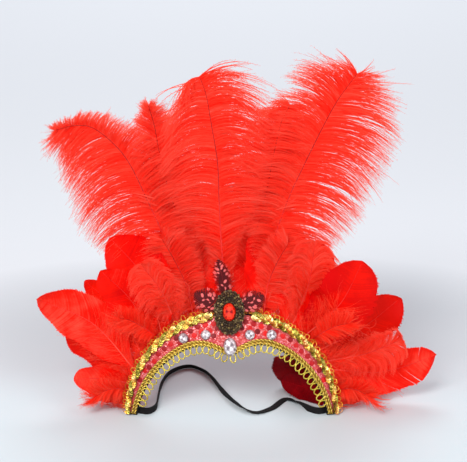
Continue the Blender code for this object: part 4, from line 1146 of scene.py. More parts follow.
# Plumes, as in the part's source: root angle on the band, length, reach of the barbs, layer from
# the front (tufts of down have none), the quill's points in shares of the length, and by share
# of the quill the reach of the barbs to the left and to the right, across and up
PLUMES = {
    "plume_centre": dict(
        root=-3.0, length=0.235, barb=0.062, layer=1,
        quill=((0.0, 0.0), (-0.02, 0.25), (-0.03, 0.47), (-0.035, 0.62), (-0.06, 0.79),
               (-0.08, 0.91), (-0.105, 0.985)),
        barbs=((0.18, -0.25, 0.25, 0.25, 0.30), (0.35, -0.66, 0.18, 0.60, 0.22),
               (0.60, -0.88, -0.22, 0.85, -0.05), (0.80, -0.82, -0.45, 0.92, -0.18),
               (0.93, -0.56, -0.55, 0.98, -0.24), (1.0, -0.26, -0.50, 0.78, 0.10))),
    "plume_left": dict(
        root=-16.0, length=0.243, barb=0.072, layer=2,
        quill=((0.0, 0.0), (-0.12, 0.22), (-0.21, 0.43), (-0.30, 0.63), (-0.41, 0.745),
               (-0.49, 0.765), (-0.575, 0.745)),
        barbs=((0.16, -0.42, -0.02, 0.25, 0.2), (0.35, -0.84, -0.38, 0.50, 0.25),
               (0.55, -0.90, -0.58, 0.52, 0.42), (0.75, -0.72, -0.58, 0.22, 0.32),
               (0.90, -0.36, -0.50, 0.05, 0.17), (1.0, -0.14, -0.12, -0.10, 0.06))),
    "plume_right": dict(
        root=11.0, length=0.246, barb=0.074, layer=2,
        quill=((0.0, 0.0), (0.075, 0.24), (0.14, 0.44), (0.19, 0.56), (0.27, 0.74),
               (0.325, 0.85), (0.395, 0.955)),
        barbs=((0.16, -0.20, 0.1, 0.45, 0.0), (0.35, -0.50, 0.12, 0.86, -0.30),
               (0.60, -0.62, 0.22, 0.98, -0.52), (0.80, -0.66, 0.36, 0.96, -0.34),
               (0.92, -0.62, 0.44, 0.68, -0.10), (1.0, -0.20, 0.18, 0.26, 0.05))),
    "plume_mid_left": dict(
        root=-8.0, length=0.212, barb=0.056, layer=3,
        quill=((0.0, 0.0), (-0.13, 0.27), (-0.22, 0.54), (-0.26, 0.72), (-0.28, 0.85),
               (-0.305, 0.95)),
        barbs=((0.20, -0.36, 0.35, 0.28, 0.40), (0.45, -0.66, 0.34, 0.58, 0.42),
               (0.70, -0.60, 0.25, 0.60, 0.30), (0.88, -0.36, 0.20, 0.38, 0.22),
               (1.0, -0.08, 0.10, 0.08, 0.08))),
    "plume_mid_right": dict(
        root=3.5, length=0.205, barb=0.058, layer=3,
        quill=((0.0, 0.0), (0.07, 0.28), (0.13, 0.54), (0.17, 0.76), (0.20, 0.90),
               (0.24, 0.98)),
        barbs=((0.20, -0.28, 0.36, 0.36, 0.36), (0.45, -0.56, 0.34, 0.62, 0.32),
               (0.70, -0.66, 0.10, 0.68, 0.05), (0.88, -0.60, 0.05, 0.52, -0.05),
               (1.0, -0.26, 0.05, 0.26, -0.05))),
    "plume_short_left": dict(
        root=-21.0, length=0.084, barb=0.044, layer=0,
        quill=((0.0, 0.0), (-0.08, 0.32), (-0.22, 0.64), (-0.36, 0.90)),
        barbs=((0.32, -0.62, -0.20, 0.40, 0.25), (0.55, -0.84, -0.24, 0.50, 0.42),
               (0.85, -0.66, -0.10, 0.36, 0.50), (1.0, -0.22, 0.12, 0.10, 0.26))),
    "plume_short_right": dict(
        root=17.0, length=0.074, barb=0.042, layer=0,
        quill=((0.0, 0.0), (0.06, 0.35), (0.18, 0.66), (0.32, 0.92)),
        barbs=((0.32, -0.30, 0.25, 0.72, -0.15), (0.55, -0.40, 0.42, 0.86, -0.05),
               (0.85, -0.30, 0.50, 0.66, 0.0), (1.0, -0.12, 0.26, 0.22, 0.12))),
    "fluff_left_upper": dict(
        root=-44.0, length=0.040, barb=0.026, layer=None,
        quill=((0.0, 0.0), (-0.30, 0.30), (-0.62, 0.55), (-0.90, 0.66)),
        barbs=((0.35, -0.55, -0.30, 0.15, 0.60), (0.65, -0.75, -0.20, 0.05, 0.75),
               (1.0, -0.55, 0.10, -0.20, 0.50))),
    "fluff_left_lower": dict(
        root=-78.0, length=0.032, barb=0.024, layer=None,
        quill=((0.0, 0.0), (-0.32, 0.12), (-0.65, 0.10), (-0.95, -0.05)),
        barbs=((0.35, -0.25, -0.62, -0.20, 0.60), (0.65, -0.55, -0.60, -0.45, 0.60),
               (1.0, -0.66, -0.30, -0.62, 0.22))),
    "fluff_right_upper": dict(
        root=47.0, length=0.040, barb=0.026, layer=None,
        quill=((0.0, 0.0), (0.30, 0.30), (0.62, 0.52), (0.90, 0.62)),
        barbs=((0.35, -0.15, 0.60, 0.55, -0.30), (0.65, -0.05, 0.75, 0.75, -0.20),
               (1.0, 0.20, 0.50, 0.55, 0.10))),
    "fluff_right_lower": dict(
        root=78.0, length=0.032, barb=0.024, layer=None,
        quill=((0.0, 0.0), (0.32, 0.12), (0.65, 0.10), (0.95, -0.05)),
        barbs=((0.35, 0.20, 0.60, 0.25, -0.62), (0.65, 0.45, 0.60, 0.55, -0.60),
               (1.0, 0.62, 0.22, 0.66, -0.30))),
}


def fan_depth(across, height, plume, edge):
    """Distance back of a plume's points, as in the part's source."""
    if plume["layer"] is None:
        return edge[1] - TUFT_LEAN * np.hypot(across - edge[0], height - edge[2])
    crown = ARCH_RADIUS * math.cos(BAND_LEAN)
    front = band_point(0.0, 0.0, -BASE_THICKNESS)[1] + PLUME_FRONT_CLEARANCE
    layer = front + plume["layer"] * PLUME_LAYER_STEP
    rise = ease((height - edge[2]) / PLUME_SWEEP)
    above = np.maximum(height - crown, 0.0)
    return edge[1] + (layer - edge[1]) * rise - PLUME_CURL * (above / PLUME_CURL_HEIGHT) ** 2


def plume_spine(plume, count):
    """Centre line of a quill, and the point where it passes the felt's edge."""
    angle = math.radians(plume["root"])
    root = band_point(angle, PLUME_SEAT, BEHIND_BASE)
    edge = band_point(angle, -PLUME_LIP, BEHIND_BASE)
    points = [edge + plume["length"] * np.array([x, 0.0, z]) for x, z in plume["quill"]]
    line = smooth_path(points, count)
    line[:, 1] = fan_depth(line[:, 0], line[:, 2], plume, edge)
    return root, line, edge


def turned(vectors, angle):
    """Vectors turned by an angle in the front view."""
    c, s = np.cos(angle), np.sin(angle)
    return np.stack([vectors[:, 0] * c - vectors[:, 2] * s, vectors[:, 1],
                     vectors[:, 0] * s + vectors[:, 2] * c], axis=1)


def barb_lines(plume, rng, kind):
    """Curves of all the barbs of a plume. A barb leaves the quill slantwise and bends over, as a
    quadratic curve to a tip whose reach comes from the plume's table. Neighbours draw together
    into locks towards their tips, a few go astray, and all waver and spread in depth."""
    per_side, locks = kind["per_side"], kind["locks"]
    table = np.array(plume["barbs"])
    root, line, edge = plume_spine(plume, 241)
    slope = slope_of(line)
    start = 0.05 if plume["layer"] is not None else 0.02
    pitch = plume["length"] * (1 - start) / locks
    t = np.linspace(0.0, 1.0, kind["steps"])[None, :, None]
    curves, tones = [], []
    for side, first in ((-1.0, 1), (1.0, 3)):
        s = (np.arange(per_side) + rng.random(per_side)) / per_side
        along = start + (1 - start) * s
        base = sample(line, along)
        forward = unit(sample(slope, along) * np.array([1.0, 0.0, 1.0]))
        outward = np.stack([forward[:, 2], np.zeros(per_side), -forward[:, 0]], 1) * side
        across, up = (np.interp(along, table[:, 0], table[:, column]) * plume["barb"]
                      for column in (first, first + 1))
        reach = np.stack([across, np.zeros(per_side), up], axis=1)
        young = 0.50 + 0.50 * ease((along - start) / max(table[0, 0] - start, 1e-6))
        cell = s * locks + rng.random()
        cell = cell + 0.40 * np.sin(cell * 2.3)
        lock = np.floor(cell).astype(int)
        pull = cell - lock - 0.5
        lock = np.clip(lock, 0, locks + 1)
        lock_size, lock_turn, lock_depth = (
            rng.normal(0.0, amount, locks + 2)[lock] for amount in (0.045, 0.022, 1.0))
        size = 0.80 + 0.24 * rng.random(per_side) ** 0.6 + lock_size - 0.16 * np.abs(pull)
        size = size * young
        stray = rng.random(per_side) < STRAY_SHARE
        size = size * np.where(stray, 0.75 + 0.40 * rng.random(per_side), 1.0)
        loose = ease((along - 0.84) / 0.16)
        size = size * (1 + loose * rng.normal(0.0, 0.24, per_side))
        turn = lock_turn + rng.normal(0.0, 0.050, per_side) * (1 + 3.5 * loose)
        turn = turn + np.where(stray, rng.normal(0.0, 0.24, per_side), 0.0)
        reach = turned(reach * size[:, None], turn)
        length = np.linalg.norm(reach, axis=1)[:, None]
        launch = unit(0.9 * forward + 0.8 * outward + 0.8 * unit(reach))
        control = base + 0.52 * length * launch
        tip = base + reach
        path = ((1 - t) ** 2 * base[:, None] + 2 * t * (1 - t) * control[:, None]
                + t ** 2 * tip[:, None])
        draw = np.clip(rng.normal(0.62, 0.34, per_side), 0.0, 1.1) * pull * pitch
        path = path - (forward * draw[:, None])[:, None] * t ** 3.6
        square = unit(np.cross(reach, np.array([0.0, 1.0, 0.0])))
        phase = rng.random((per_side, 1, 1)) * 2.6 + lock[:, None, None] * 0.6
        pace = 5.0 + 2 * rng.random((per_side, 1, 1))
        waver = kind["wave"] * length[:, :, None] * t * np.sin(phase + t * pace)
        path = path + waver * square[:, None]
        depth = fan_depth(path[..., 0], path[..., 2], plume, edge) + 0.5 * PLUME_THICKNESS
        aside = (0.6 * lock_depth + 0.8 * rng.normal(0.0, 1.0, per_side)) * kind["spread"]
        aside = aside + 0.0015 - 0.04 * length[:, 0]
        path[..., 1] = np.maximum(depth + aside[:, None] * t[..., 0] ** 1.3, FRONT_LIMIT)
        curves.append(path)
        tones.append(0.42 + 1.8 * lock_size + rng.normal(0.0, 0.17, per_side))
    return np.concatenate(curves), np.concatenate(tones), line, root


def grow_plume(name, plume, seed):
    """An ostrich plume or a tuft of down: its quill, its barbs as fine strips that thin to a
    point, and barbules along each barb."""
    rng = np.random.default_rng(seed)
    tuft = plume["layer"] is None
    kind = PLUME_KINDS["tuft" if tuft else "long" if plume["length"] > PLUME_SHORT else "short"]
    slot = "down" if tuft else "ostrich_feather"
    paths, tones, line, root = barb_lines(plume, rng, kind)
    count, steps = paths.shape[:2]
    share = np.linspace(0.0, 1.0, steps)
    half = BARB_HALF * (1 - 0.90 * share ** 1.7) * (1 + 0.2 * rng.normal(0, 1, (count, 1)))
    tone = np.clip(tones[:, None] + 0.30 * (share - 0.35), 0, 1)
    parts = Parts()
    parts.add(*ribbons(paths, np.maximum(half, BARB_FINEST), rng.normal(0, 0.5, count)), None,
              np.repeat(tone.ravel(), 2))
    barbules(parts, paths, rng, kind["barbules"], kind["reach"], 0.00019, tones)
    parts.finish(name + "_barbs", DOWN if tuft else OSTRICH, slot, [name])
    quill = np.vstack([root[None], line[::6]])
    run = np.linspace(0.0, 1.0, len(quill))
    thick = kind["quill"] * (1 - 0.80 * run ** 0.8) * kind["slim"]
    inside = np.array([0.0, -0.0001 + 0.5 * PLUME_THICKNESS, 0.0])
    make_piece(name + "_quill", OSTRICH_QUILL, slot,
               (*strands(quill[None] + inside, thick[None], 7), None,
                np.repeat(ease((run - 0.25) * 1.7), 7)))


# Outlines of vanes: share of the length, share of the half width
GOOSE_VANE = ((0.0, 0.08), (0.12, 0.16), (0.24, 0.50), (0.42, 0.88), (0.62, 1.03), (0.78, 0.95),
              (0.90, 0.68), (0.965, 0.36), (1.0, 0.02))
LINING_VANE = ((0.0, 0.70), (0.2, 0.95), (0.5, 1.0), (0.75, 0.95), (0.92, 0.6), (1.0, 0.05))
GUINEA_VANE = ((0.0, 0.25), (0.25, 0.55), (0.5, 0.95), (0.72, 1.0), (0.9, 0.6), (1.0, 0.1))
# Goose feathers: root angle, length, heading, rake to the back, sideways bow, backward bow, width
GOOSE_ROWS = {
    "goose_left_top": (-41, 0.110, -27, 5, -0.10, 0.02, 0.056),
    "goose_left_inner": (-32, 0.080, -24, -15, -0.06, -0.04, 0.038),
    "goose_left_high": (-50, 0.092, -31, 1, -0.10, 0.0, 0.042),
    "goose_left_back": (-57, 0.096, -42, 22, -0.06, 0.10, 0.030),
    "goose_left_long": (-66, 0.121, -55, 9, -0.10, 0.04, 0.050),
    "goose_left_low": (-74, 0.056, -83, -6, -0.06, 0.0, 0.028),
    "goose_right_inner": (34, 0.090, 14, 4, 0.06, 0.02, 0.040),
    "goose_right_top": (43, 0.098, 34, -3, 0.08, -0.02, 0.061),
    "goose_right_high": (54, 0.100, 61, 16, 0.08, 0.08, 0.046),
    "goose_right_long": (66, 0.112, 86, 10, 0.12, 0.06, 0.046),
}
# Feathers that only fill the rows, with no solid of their own; columns as in GOOSE_ROWS
FILLER_ROWS = {
    "filler_left_under": (-71, 0.087, -60, 23, -0.06, 0.05, 0.046),
    "filler_back_left": (-17, 0.098, -17, 25, -0.03, 0.02, 0.062),
    "filler_back_middle": (-2, 0.104, -1, 25, 0.02, 0.02, 0.064),
    "filler_back_right": (16, 0.096, 13, 15, 0.03, 0.02, 0.062),
    "filler_back_outer": (30, 0.088, 24, 13, 0.03, 0.02, 0.050),
    "filler_back_low": (42, 0.062, 46, 14, 0.03, 0.02, 0.062),
    "filler_right_inner": (61, 0.080, 74, 4, 0.06, 0.02, 0.036),
}
# Feathers whose tips rest on the ground: root angle, root's share of the band's width, tip
# across, tip back, bow, width, turn of the face
FOOT_ROWS = {
    "goose_left_foot": (-83, 0.5, -0.048, 0.026, 0.05, 0.026, 20),
    "goose_left_rear": (-68, 0.5, -0.016, 0.058, 0.10, 0.032, 30),
    "goose_right_foot": (82, 0.5, 0.040, 0.020, 0.05, 0.026, -20),
    "goose_right_side": (73, 0.5, 0.078, 0.074, 0.02, 0.030, -20),
    "goose_right_rear": (50, 0.7, -0.006, 0.056, 0.10, 0.048, 12),
}
# Guinea-fowl feathers, the lowest last: reach along the band, up its slope and straight up, width
GUINEA_ROWS = {
    "guinea_left": (-0.0340, 0.0200, 0.0, 0.0220),
    "guinea_right": (0.0350, 0.0160, 0.0, 0.0200),
    "guinea_top": (-0.0100, 0.0240, 0.0310, 0.0150),
}
# How much deeper or paler than the rest a goose feather's vane is made, as a shift of its tone
VANE_SHADES = {
    "goose_left_top": -0.18, "goose_left_high": -0.08, "goose_left_long": 0.12,
    "goose_left_low": 0.10, "goose_left_back": -0.15, "goose_right_top": -0.34,
    "goose_right_high": -0.40, "goose_right_long": 0.04, "filler_left_under": -0.05,
}
# Splits in a vane, and how uneven its edge is
VANE_SPLITS = {"goose_right_long": 3, "goose_left_back": 1}
VANE_RAGS = {"goose_right_top": 0.045, "goose_right_high": 0.045}


def vane_half(share, vane):
    """Half width of a vane by a smooth curve through its table."""
    knots = smooth_path(np.array([(a, b, 0.0) for a, b in vane]), 129)
    order = np.maximum.accumulate(knots[:, 0]) + np.arange(129) * 1e-9
    return np.interp(share, order, np.maximum(knots[:, 1], 0.0))


def leaf_frame(leaf, share):
    """Centre line, side and normal of a leaf at shares of its length."""
    return (sample(leaf["line"], share), unit(sample(leaf["side"], share)),
            unit(sample(leaf["normal"], share)))


def leaf_point(leaf, share, across):
    """A point on a leaf at a share of its centre line and a distance across it: the centre line,
    plus across along its side, less a cup that grows as the square of the distance."""
    spine, side, normal = leaf_frame(leaf, share)
    across = across[..., None]
    bend = leaf["cup"] * across ** 2 / max(leaf["half"], 1e-6)
    return spine + side * across - normal * bend


def make_leaf(path, face, width, cup):
    """Centre line, side and normal of a leaf-shaped feather."""
    line = smooth_path(path, 65)
    tangent = slope_of(line)
    side = unit(np.cross(tangent, np.asarray(face, float)))
    return dict(line=line, side=side, normal=unit(np.cross(side, tangent)), cup=cup,
                half=0.5 * width, length=float(np.linalg.norm(np.diff(line, axis=0),
                                                              axis=1).sum()))


def vane_strips(leaf, vane, rng, count, sweep, splits, first, ripple, rag=0.018, loose=1.0):
    """The vane as slanting barbs that lie edge to edge. A barb starts at a share u0 of the quill
    and ends at u1 = u0 + sweep * (1 - u0), at the vane's half width there, so the ends draw the
    outline. At a split the barbs on its two sides turn apart. The face ripples by two sine waves
    along the quill that grow with the distance from it. Where loose is under 1, a barb narrows
    to a thread beyond that share of its length, and the UV map slants with the barbs, so that
    spots sit on them."""
    blocks = Parts()
    w = np.array([0.0, 0.14, 0.30, 0.46, 0.62, 0.77, 0.89, 0.965, 1.0])[None, None, :]
    steps = w.shape[2]
    ragged = loose < 1.0
    for side in (-1.0, 1.0):
        edges = first + (0.996 - first) * np.linspace(0.0, 1.0, count + 1)
        middle = 0.5 * (edges[1:] + edges[:-1])
        u0 = np.stack([edges[:-1], edges[1:]], axis=1)
        ramp = np.clip((u0 - first) / 0.16, 0.40, 1.0)
        u1 = u0 + sweep * ramp * (1 - u0)
        gap = np.zeros(count)
        for place in rng.uniform(0.30, 0.90, splits):
            gap = gap + rng.uniform(0.002, 0.007) * np.sign(middle - place) * np.exp(
                -np.abs(middle - place) / 0.035)
        u = u0[..., None] + (u1 - u0)[..., None] * w ** 1.2 + gap[:, None, None] * w ** 2.5
        centre = u.mean(axis=1, keepdims=True)
        narrow = np.where(w >= 1.0, 0.1 if ragged else 0.45, 1.0)
        narrow = narrow * np.where(w > loose, 1 - 0.75 * (w - loose) / (1.001 - loose), 1.0)
        u = np.clip(centre + (u - centre) * narrow, 0.0, 1.0)
        uneven = np.sin(TAU * 1.7 * u1 + rng.random() * TAU) + 0.6 * np.sin(
            TAU * 4.3 * u1 + rng.random() * TAU)
        half = leaf["half"] * vane_half(u1, vane) * (1 + 0.035 * uneven)
        far = w * half[..., None]
        far[..., -1] *= 1 + rng.normal(0.0, rag, count)[:, None]
        first_wave, second_wave = rng.random(2) * TAU
        wave = np.sin(TAU * 1.1 * u + first_wave) + 0.5 * np.sin(TAU * 2.7 * u + second_wave)
        lift = (ripple * leaf["half"] * w ** 1.6 * wave)[..., None]
        points = leaf_point(leaf, u, side * far) + leaf_frame(leaf, u)[2] * lift
        faces = grid_faces(2, steps)
        if side > 0:
            faces = faces[:, ::-1]
        run = u * leaf["length"]
        far = np.abs(far)
        uv = (paired(run - far + 0.05 * side, 0.6 * (run + far)) if ragged
              else paired(u0[..., None] * leaf["length"], far))
        shade = 0.52 + rng.normal(0, 0.05, count)[:, None, None] + 0.10 * (0.4 - w)
        blocks.add(points, [repeat_faces(faces, count, 2 * steps)], uv,
                   np.broadcast_to(shade, far.shape))
    return blocks


def grow_quill(name, leaf, thick, material, slot="goose_feather"):
    """A tapering quill along a leaf's centre line."""
    run = np.linspace(0.0, 0.97, 30)
    line, _, normal = leaf_frame(leaf, run)
    radius = thick * (1 - 0.85 * run ** 0.7)
    make_piece(name + "_quill", material, slot,
               (*strands((line - 0.25 * thick * normal)[None], radius[None], 6,
                         leaf["normal"].mean(axis=0)), None, np.repeat(ease(run * 1.2), 6)))


def down_strands(parts, base, heading, ahead, length, rng, tones, reach=0.0022, per_barb=10):
    """Loose down: wavering strips from their roots. Each curve is root + heading * length * t,
    with a sine waver across it and a bend towards ahead that grows as t squared."""
    count, steps = len(base), 8
    square = unit(np.cross(heading, ahead + rng.normal(0, 0.5, heading.shape)))
    t = np.linspace(0.0, 1.0, steps)[None, :, None]
    length = length[:, None, None]
    phase = rng.random((count, 1, 1)) * TAU
    path = (base[:, None] + heading[:, None] * length * t
            + square[:, None] * length * 0.11 * t * np.sin(phase + 5.0 * t)
            + ahead[:, None] * length * 0.25 * t ** 2)
    path[..., 2] = np.maximum(path[..., 2], DOWN_FLOOR)
    half = DOWN_HALF * (1 - 0.7 * t[..., 0])
    parts.add(*ribbons(path, half, rng.normal(0, 0.6, count)), None,
              np.repeat(tones, 2 * steps))
    barbules(parts, path, rng, per_barb, reach, 0.00013, tones, 0.9)


def grow_down(name, leaf, rng, count, low, high, size, material=None):
    """Down at the foot of a goose feather's vane, leaving its quill to both sides."""
    share = low + (high - low) * rng.random(count) ** 0.8
    base, side, normal = leaf_frame(leaf, share)
    ahead = unit(sample(slope_of(leaf["line"]), share))
    hand = np.sign(rng.random(count) - 0.5)[:, None]
    heading = unit(hand * side * rng.uniform(0.5, 1.2, (count, 1)) + ahead * rng.uniform(
        0.0, 1.0, (count, 1)) + normal * rng.normal(0, 0.30, (count, 1)))
    length = size * leaf["length"] * (0.6 + 0.7 * rng.random(count))
    parts = Parts()
    tones = np.clip(0.48 + rng.normal(0, 0.18, count), 0, 1)
    down_strands(parts, base, heading, ahead, length, rng, tones)
    parts.finish(name + "_down", material or DOWN, "goose_feather")


def grow_base_down():
    """Down behind the band's outer edge, all round the arch: it hides the quills' feet. The roots
    are spread over angle and inset, the headings fan out from the band with the angle."""
    rng = np.random.default_rng(51)
    parts = Parts()
    count = 3000
    angle = rng.uniform(-1.50, 1.50, count)
    inset = rng.uniform(-0.0005, 0.0090, count)
    base = band_point(angle, inset, BEHIND_BASE - rng.uniform(0.0002, 0.0035, count))
    along, down, out = band_frame(angle)
    turn = rng.normal(0, 0.42, count)[:, None]
    back = rng.uniform(0.05, 0.75, count)[:, None]
    heading = unit(-down * np.cos(turn) + along * np.sin(turn) - out * back)
    length = 0.020 + (0.018 + 0.014 * np.cos(angle)) * rng.random(count) ** 1.3
    ahead = unit(-down + 0.35 * along * np.sign(angle)[:, None] - 0.3 * out)
    # This down is given a paler tone than the feathers' down: painted light against the shade it
    # sits in behind the band.
    tones = np.clip(0.64 + rng.normal(0, 0.17, count), 0, 1)
    down_strands(parts, base, heading, ahead, length, rng, tones, 0.0024, 11)
    parts.finish("base_down", DOWN, "down")


def grow_curls():
    """Loose curly barbs on the front of the feathers: flat spirals whose turn grows along them,
    point = root + sum of steps in a heading that keeps turning."""
    rng = np.random.default_rng(53)
    count, steps = 44, 16
    angle = np.concatenate([rng.uniform(0.30, 1.20, 26), rng.uniform(-1.2, -0.35, 18)])
    distance = rng.uniform(0.010, 0.050, count)
    along, down, out = band_frame(angle)
    root = band_point(angle, -0.004, BEHIND_BASE) - down * distance[:, None] + out * 0.004
    heading = -down + along * rng.normal(0, 0.8, (count, 1))
    start = np.arctan2(heading[:, 2], heading[:, 0])
    bend = rng.uniform(1.2, 3.4, count) * np.sign(rng.normal(0, 1, count))
    t = np.linspace(0.0, 1.0, steps)[None]
    turn = start[:, None] + bend[:, None] * t ** 1.3
    pace = (rng.uniform(0.014, 0.030, count) / steps)[:, None]
    x, z = (np.cumsum(wave(turn), axis=1) * pace for wave in (np.cos, np.sin))
    y = np.broadcast_to(-0.003 * t, x.shape)
    path = root[:, None] + np.stack([x, y, z], axis=-1)
    path[..., 2] = np.maximum(path[..., 2], 0.001)
    points, faces = ribbons(path, 0.00024 * (1 - 0.6 * t), rng.normal(0, 0.4, count))
    make_piece("loose_curls", OSTRICH, "down",
               (points, faces, None, np.repeat(0.8 + 0.2 * rng.random(count), 2 * steps)))


def goose_root(degrees, share=0.5):
    """Where a side feather's quill meets the felt's back, at a share of the band's width, and
    where it leaves its edge."""
    angle = math.radians(degrees)
    return (band_point(angle, share * float(band_width(angle)), BEHIND_BASE),
            band_point(angle, -PLUME_LIP, BEHIND_BASE - GOOSE_SETBACK))


def goose_leaves():
    """Every side feather's leaf, with its width, by node name."""
    leaves = {}
    for name, row in (GOOSE_ROWS | FILLER_ROWS).items():
        degrees, length, heading, rake, bow, back_bow, width = row
        root, edge = goose_root(degrees)
        h, k = math.radians(heading), math.radians(rake)
        chord = length * np.array([math.sin(h) * math.cos(k), math.sin(k),
                                   math.cos(h) * math.cos(k)])
        sideways = np.array([math.cos(h), 0.0, -math.sin(h)])
        middle = edge + 0.5 * chord + length * bow * sideways * math.copysign(1, heading)
        middle = middle + np.array([0.0, back_bow * length, 0.0])
        leaves[name] = make_leaf((root, edge, middle, edge + chord), (0.0, 1.0, 0.0), width,
                                 GOOSE_CUP)
    for name, row in FOOT_ROWS.items():
        degrees, share, across, back, bow, width, turn = row
        root = goose_root(degrees, share)[0] + np.array([0.0, FOOT_SEAT, 0.0])
        tip = np.array([root[0] + across, root[1] + back, FOOT_CLEARANCE])
        middle = 0.5 * (root + tip) + np.array([0.0, bow * back,
                                                bow * np.linalg.norm(tip - root)])
        face = unit(np.array([math.sin(math.radians(turn)), math.cos(math.radians(turn)), 0.3]))
        leaves[name] = make_leaf((root, middle, tip), face, width, GOOSE_CUP)
    return leaves


def own_node(name):
    """The solid that a feather stands for, if it has one."""
    return [name] if name in NODES else ()


def grow_loose_feather(name, leaf, seed):
    """A soft body feather: fine separate barbs that leave the quill slantwise and droop to the
    leaf's outline, point = quill + across * side + lag * ahead - droop * up, with barbules."""
    rng = np.random.default_rng(seed)
    parts = Parts()
    steps, count = 9, 500
    t = np.linspace(0.0, 1.0, steps)[None, :]
    for side in (-1.0, 1.0):
        u0 = 0.06 + 0.93 * (np.arange(count) + rng.random(count)) / count
        lock = np.floor(u0 * 26).astype(int)
        reach = 1.0 + rng.normal(0, 0.09, 40)[lock] + rng.normal(0, 0.07, count)
        half = leaf["half"] * np.maximum(vane_half(u0, GOOSE_VANE), 0.25) * 1.12 * reach
        lag = (0.30 + rng.normal(0, 0.03, 40)[lock] + rng.normal(0, 0.03, count)) * (1 - 0.3 * u0)
        u = np.clip(u0[:, None] + lag[:, None] * (1.5 * t - 1.15 * t ** 2), 0.0, 1.0)
        path = leaf_point(leaf, u, side * half[:, None] * t ** 0.9)
        stir = 0.0022 * rng.normal(0, 1, count)[:, None] * t ** 1.5
        path = path + leaf_frame(leaf, u)[2] * stir[..., None]
        path[..., 2] -= 0.20 * half[:, None] * t ** 2.2
        tones = 0.50 + 0.9 * (reach - 1.0) + rng.normal(0, 0.12, count)
        width = 0.00040 * (1 - 0.84 * t ** 1.1)
        parts.add(*ribbons(path, width, rng.normal(0, 0.5, count)), None,
                  np.repeat(np.clip(tones, 0, 1), 2 * steps))
        barbules(parts, path, rng, 12, 0.0028, 0.00017, tones)
    parts.finish(name + "_barbs", OSTRICH, "goose_feather", own_node(name))
    grow_quill(name, leaf, 0.0007, GOOSE_QUILL)
    grow_down(name, leaf, rng, 360, 0.02, 0.60, 0.22)


def set_tip_down(vane, leaf):
    """Tilt a vane and its centre line about the root, so that it just clears the ground."""
    for _ in range(6):
        lift = FOOT_CLEARANCE + 0.0002 - min(p[:, 2].min() for p in vane.points)
        for block in vane.points:
            run = np.clip((block - leaf["line"][0]) @ unit(leaf["line"][-1]
                          - leaf["line"][0]) / leaf["length"], 0, 1)
            block[:, 2] += lift * run
        leaf["line"][:, 2] += lift * np.linspace(0, 1, 65)


def grow_goose(name, leaf, seed):
    """A goose feather: vane, quill and the loose down at its foot. VANE_SHADES shifts the tone of
    its vane."""
    rng = np.random.default_rng(seed)
    stands = name in FOOT_ROWS
    # goose_right_rear hangs in the shade behind the band: its vane, quill and down take the red
    # painted dark as shade.
    dark = name == "goose_right_rear"
    vane = vane_strips(leaf, GOOSE_VANE, rng, 96, 0.34, VANE_SPLITS.get(name, 0), 0.10,
                       0.05 if stands else 0.20, VANE_RAGS.get(name, 0.02))
    if stands:
        set_tip_down(vane, leaf)
    vane.tone = [tone + VANE_SHADES.get(name, 0.0) for tone in vane.tone]
    vane.finish(name + "_vane", GOOSE_PAINTED_SHADE if dark else GOOSE, "goose_feather", own_node(name))
    grow_quill(name, leaf, 0.0008, GOOSE_PAINTED_SHADE if dark else GOOSE_QUILL)
    sparse = dark or name.startswith("filler_back")
    grow_down(name, leaf, rng, 60 if sparse else 325, 0.05, 0.52, 0.21,
              GOOSE_PAINTED_SHADE if dark else DOWN)


def grow_lining():
    """A feather in painted shade, its red painted dark, that lines the right end of the arch, from
    the felt's back towards the rear, just over the strap."""
    root = np.array([0.0965, 0.0075, 0.0155])
    tip = np.array([0.0500, 0.0410, 0.0175])
    middle = 0.5 * (root + tip) + np.array([0.002, 0.003, -0.001])
    leaf = make_leaf((root, middle, tip), (0.62, 0.76, 0.04), 0.0285, GOOSE_CUP)
    vane = vane_strips(leaf, LINING_VANE, np.random.default_rng(61), 60, 0.30, 0, 0.0, 0.05)
    vane.finish("lining_vane", GOOSE_PAINTED_SHADE, "goose_feather")
    grow_quill("lining", leaf, 0.0007, GOOSE_PAINTED_SHADE)


def grow_guinea():
    """Three spotted feathers behind the brooch, as leaves of barbs, with ragged edges."""
    rng = np.random.default_rng(31)
    along, down, out = band_frame(MIDDLE_ANGLE)
    for layer, (name, row) in enumerate(GUINEA_ROWS.items()):
        side_reach, slope_reach, up_reach, width = row
        rise = ON_COVER + (2 - layer) * (GUINEA_THICKNESS + SEAT_GAP)
        root = band_point(MIDDLE_ANGLE, BROOCH_INSET, rise + GUINEA_THICKNESS)
        bend = root + 0.4 * side_reach * along - slope_reach * down
        tip = root + side_reach * along - slope_reach * down + np.array([0.0, 0.0, up_reach])
        path = (root, bend if up_reach else 0.5 * (root + tip), tip)
        leaf = make_leaf(path, -out, width * 1.10, 0.0)
        vane = vane_strips(leaf, GUINEA_VANE, rng, 19, 0.44, 4, 0.02, 0.05, 0.28, 0.42)
        vane.finish(name + "_vane", GUINEA, "guinea_feather", [name])
        grow_quill(name, leaf, 0.0004, GUINEA, "guinea_feather")


# Route of the strap: across and back in arch radii, and how far its flat is tilted from
# upright, in degrees
STRAP_ROUTE = (
    (-0.925, 0.030, 0), (-0.86, -0.005, 0), (-0.785, -0.015, 0), (-0.725, 0.075, 0),
    (-0.715, 0.30, 0), (-0.70, 0.57, 0), (-0.63, 0.86, 20), (-0.45, 1.03, 40), (-0.28, 0.90, 30),
    (-0.18, 0.68, 10), (-0.09, 0.42, 0), (0.06, 0.13, 30), (0.22, 0.00, 80), (0.38, 0.10, 90),
    (0.52, 0.30, 90), (0.63, 0.19, 50), (0.72, 0.05, 0), (0.82, -0.015, 0), (0.925, 0.030, 0),
)


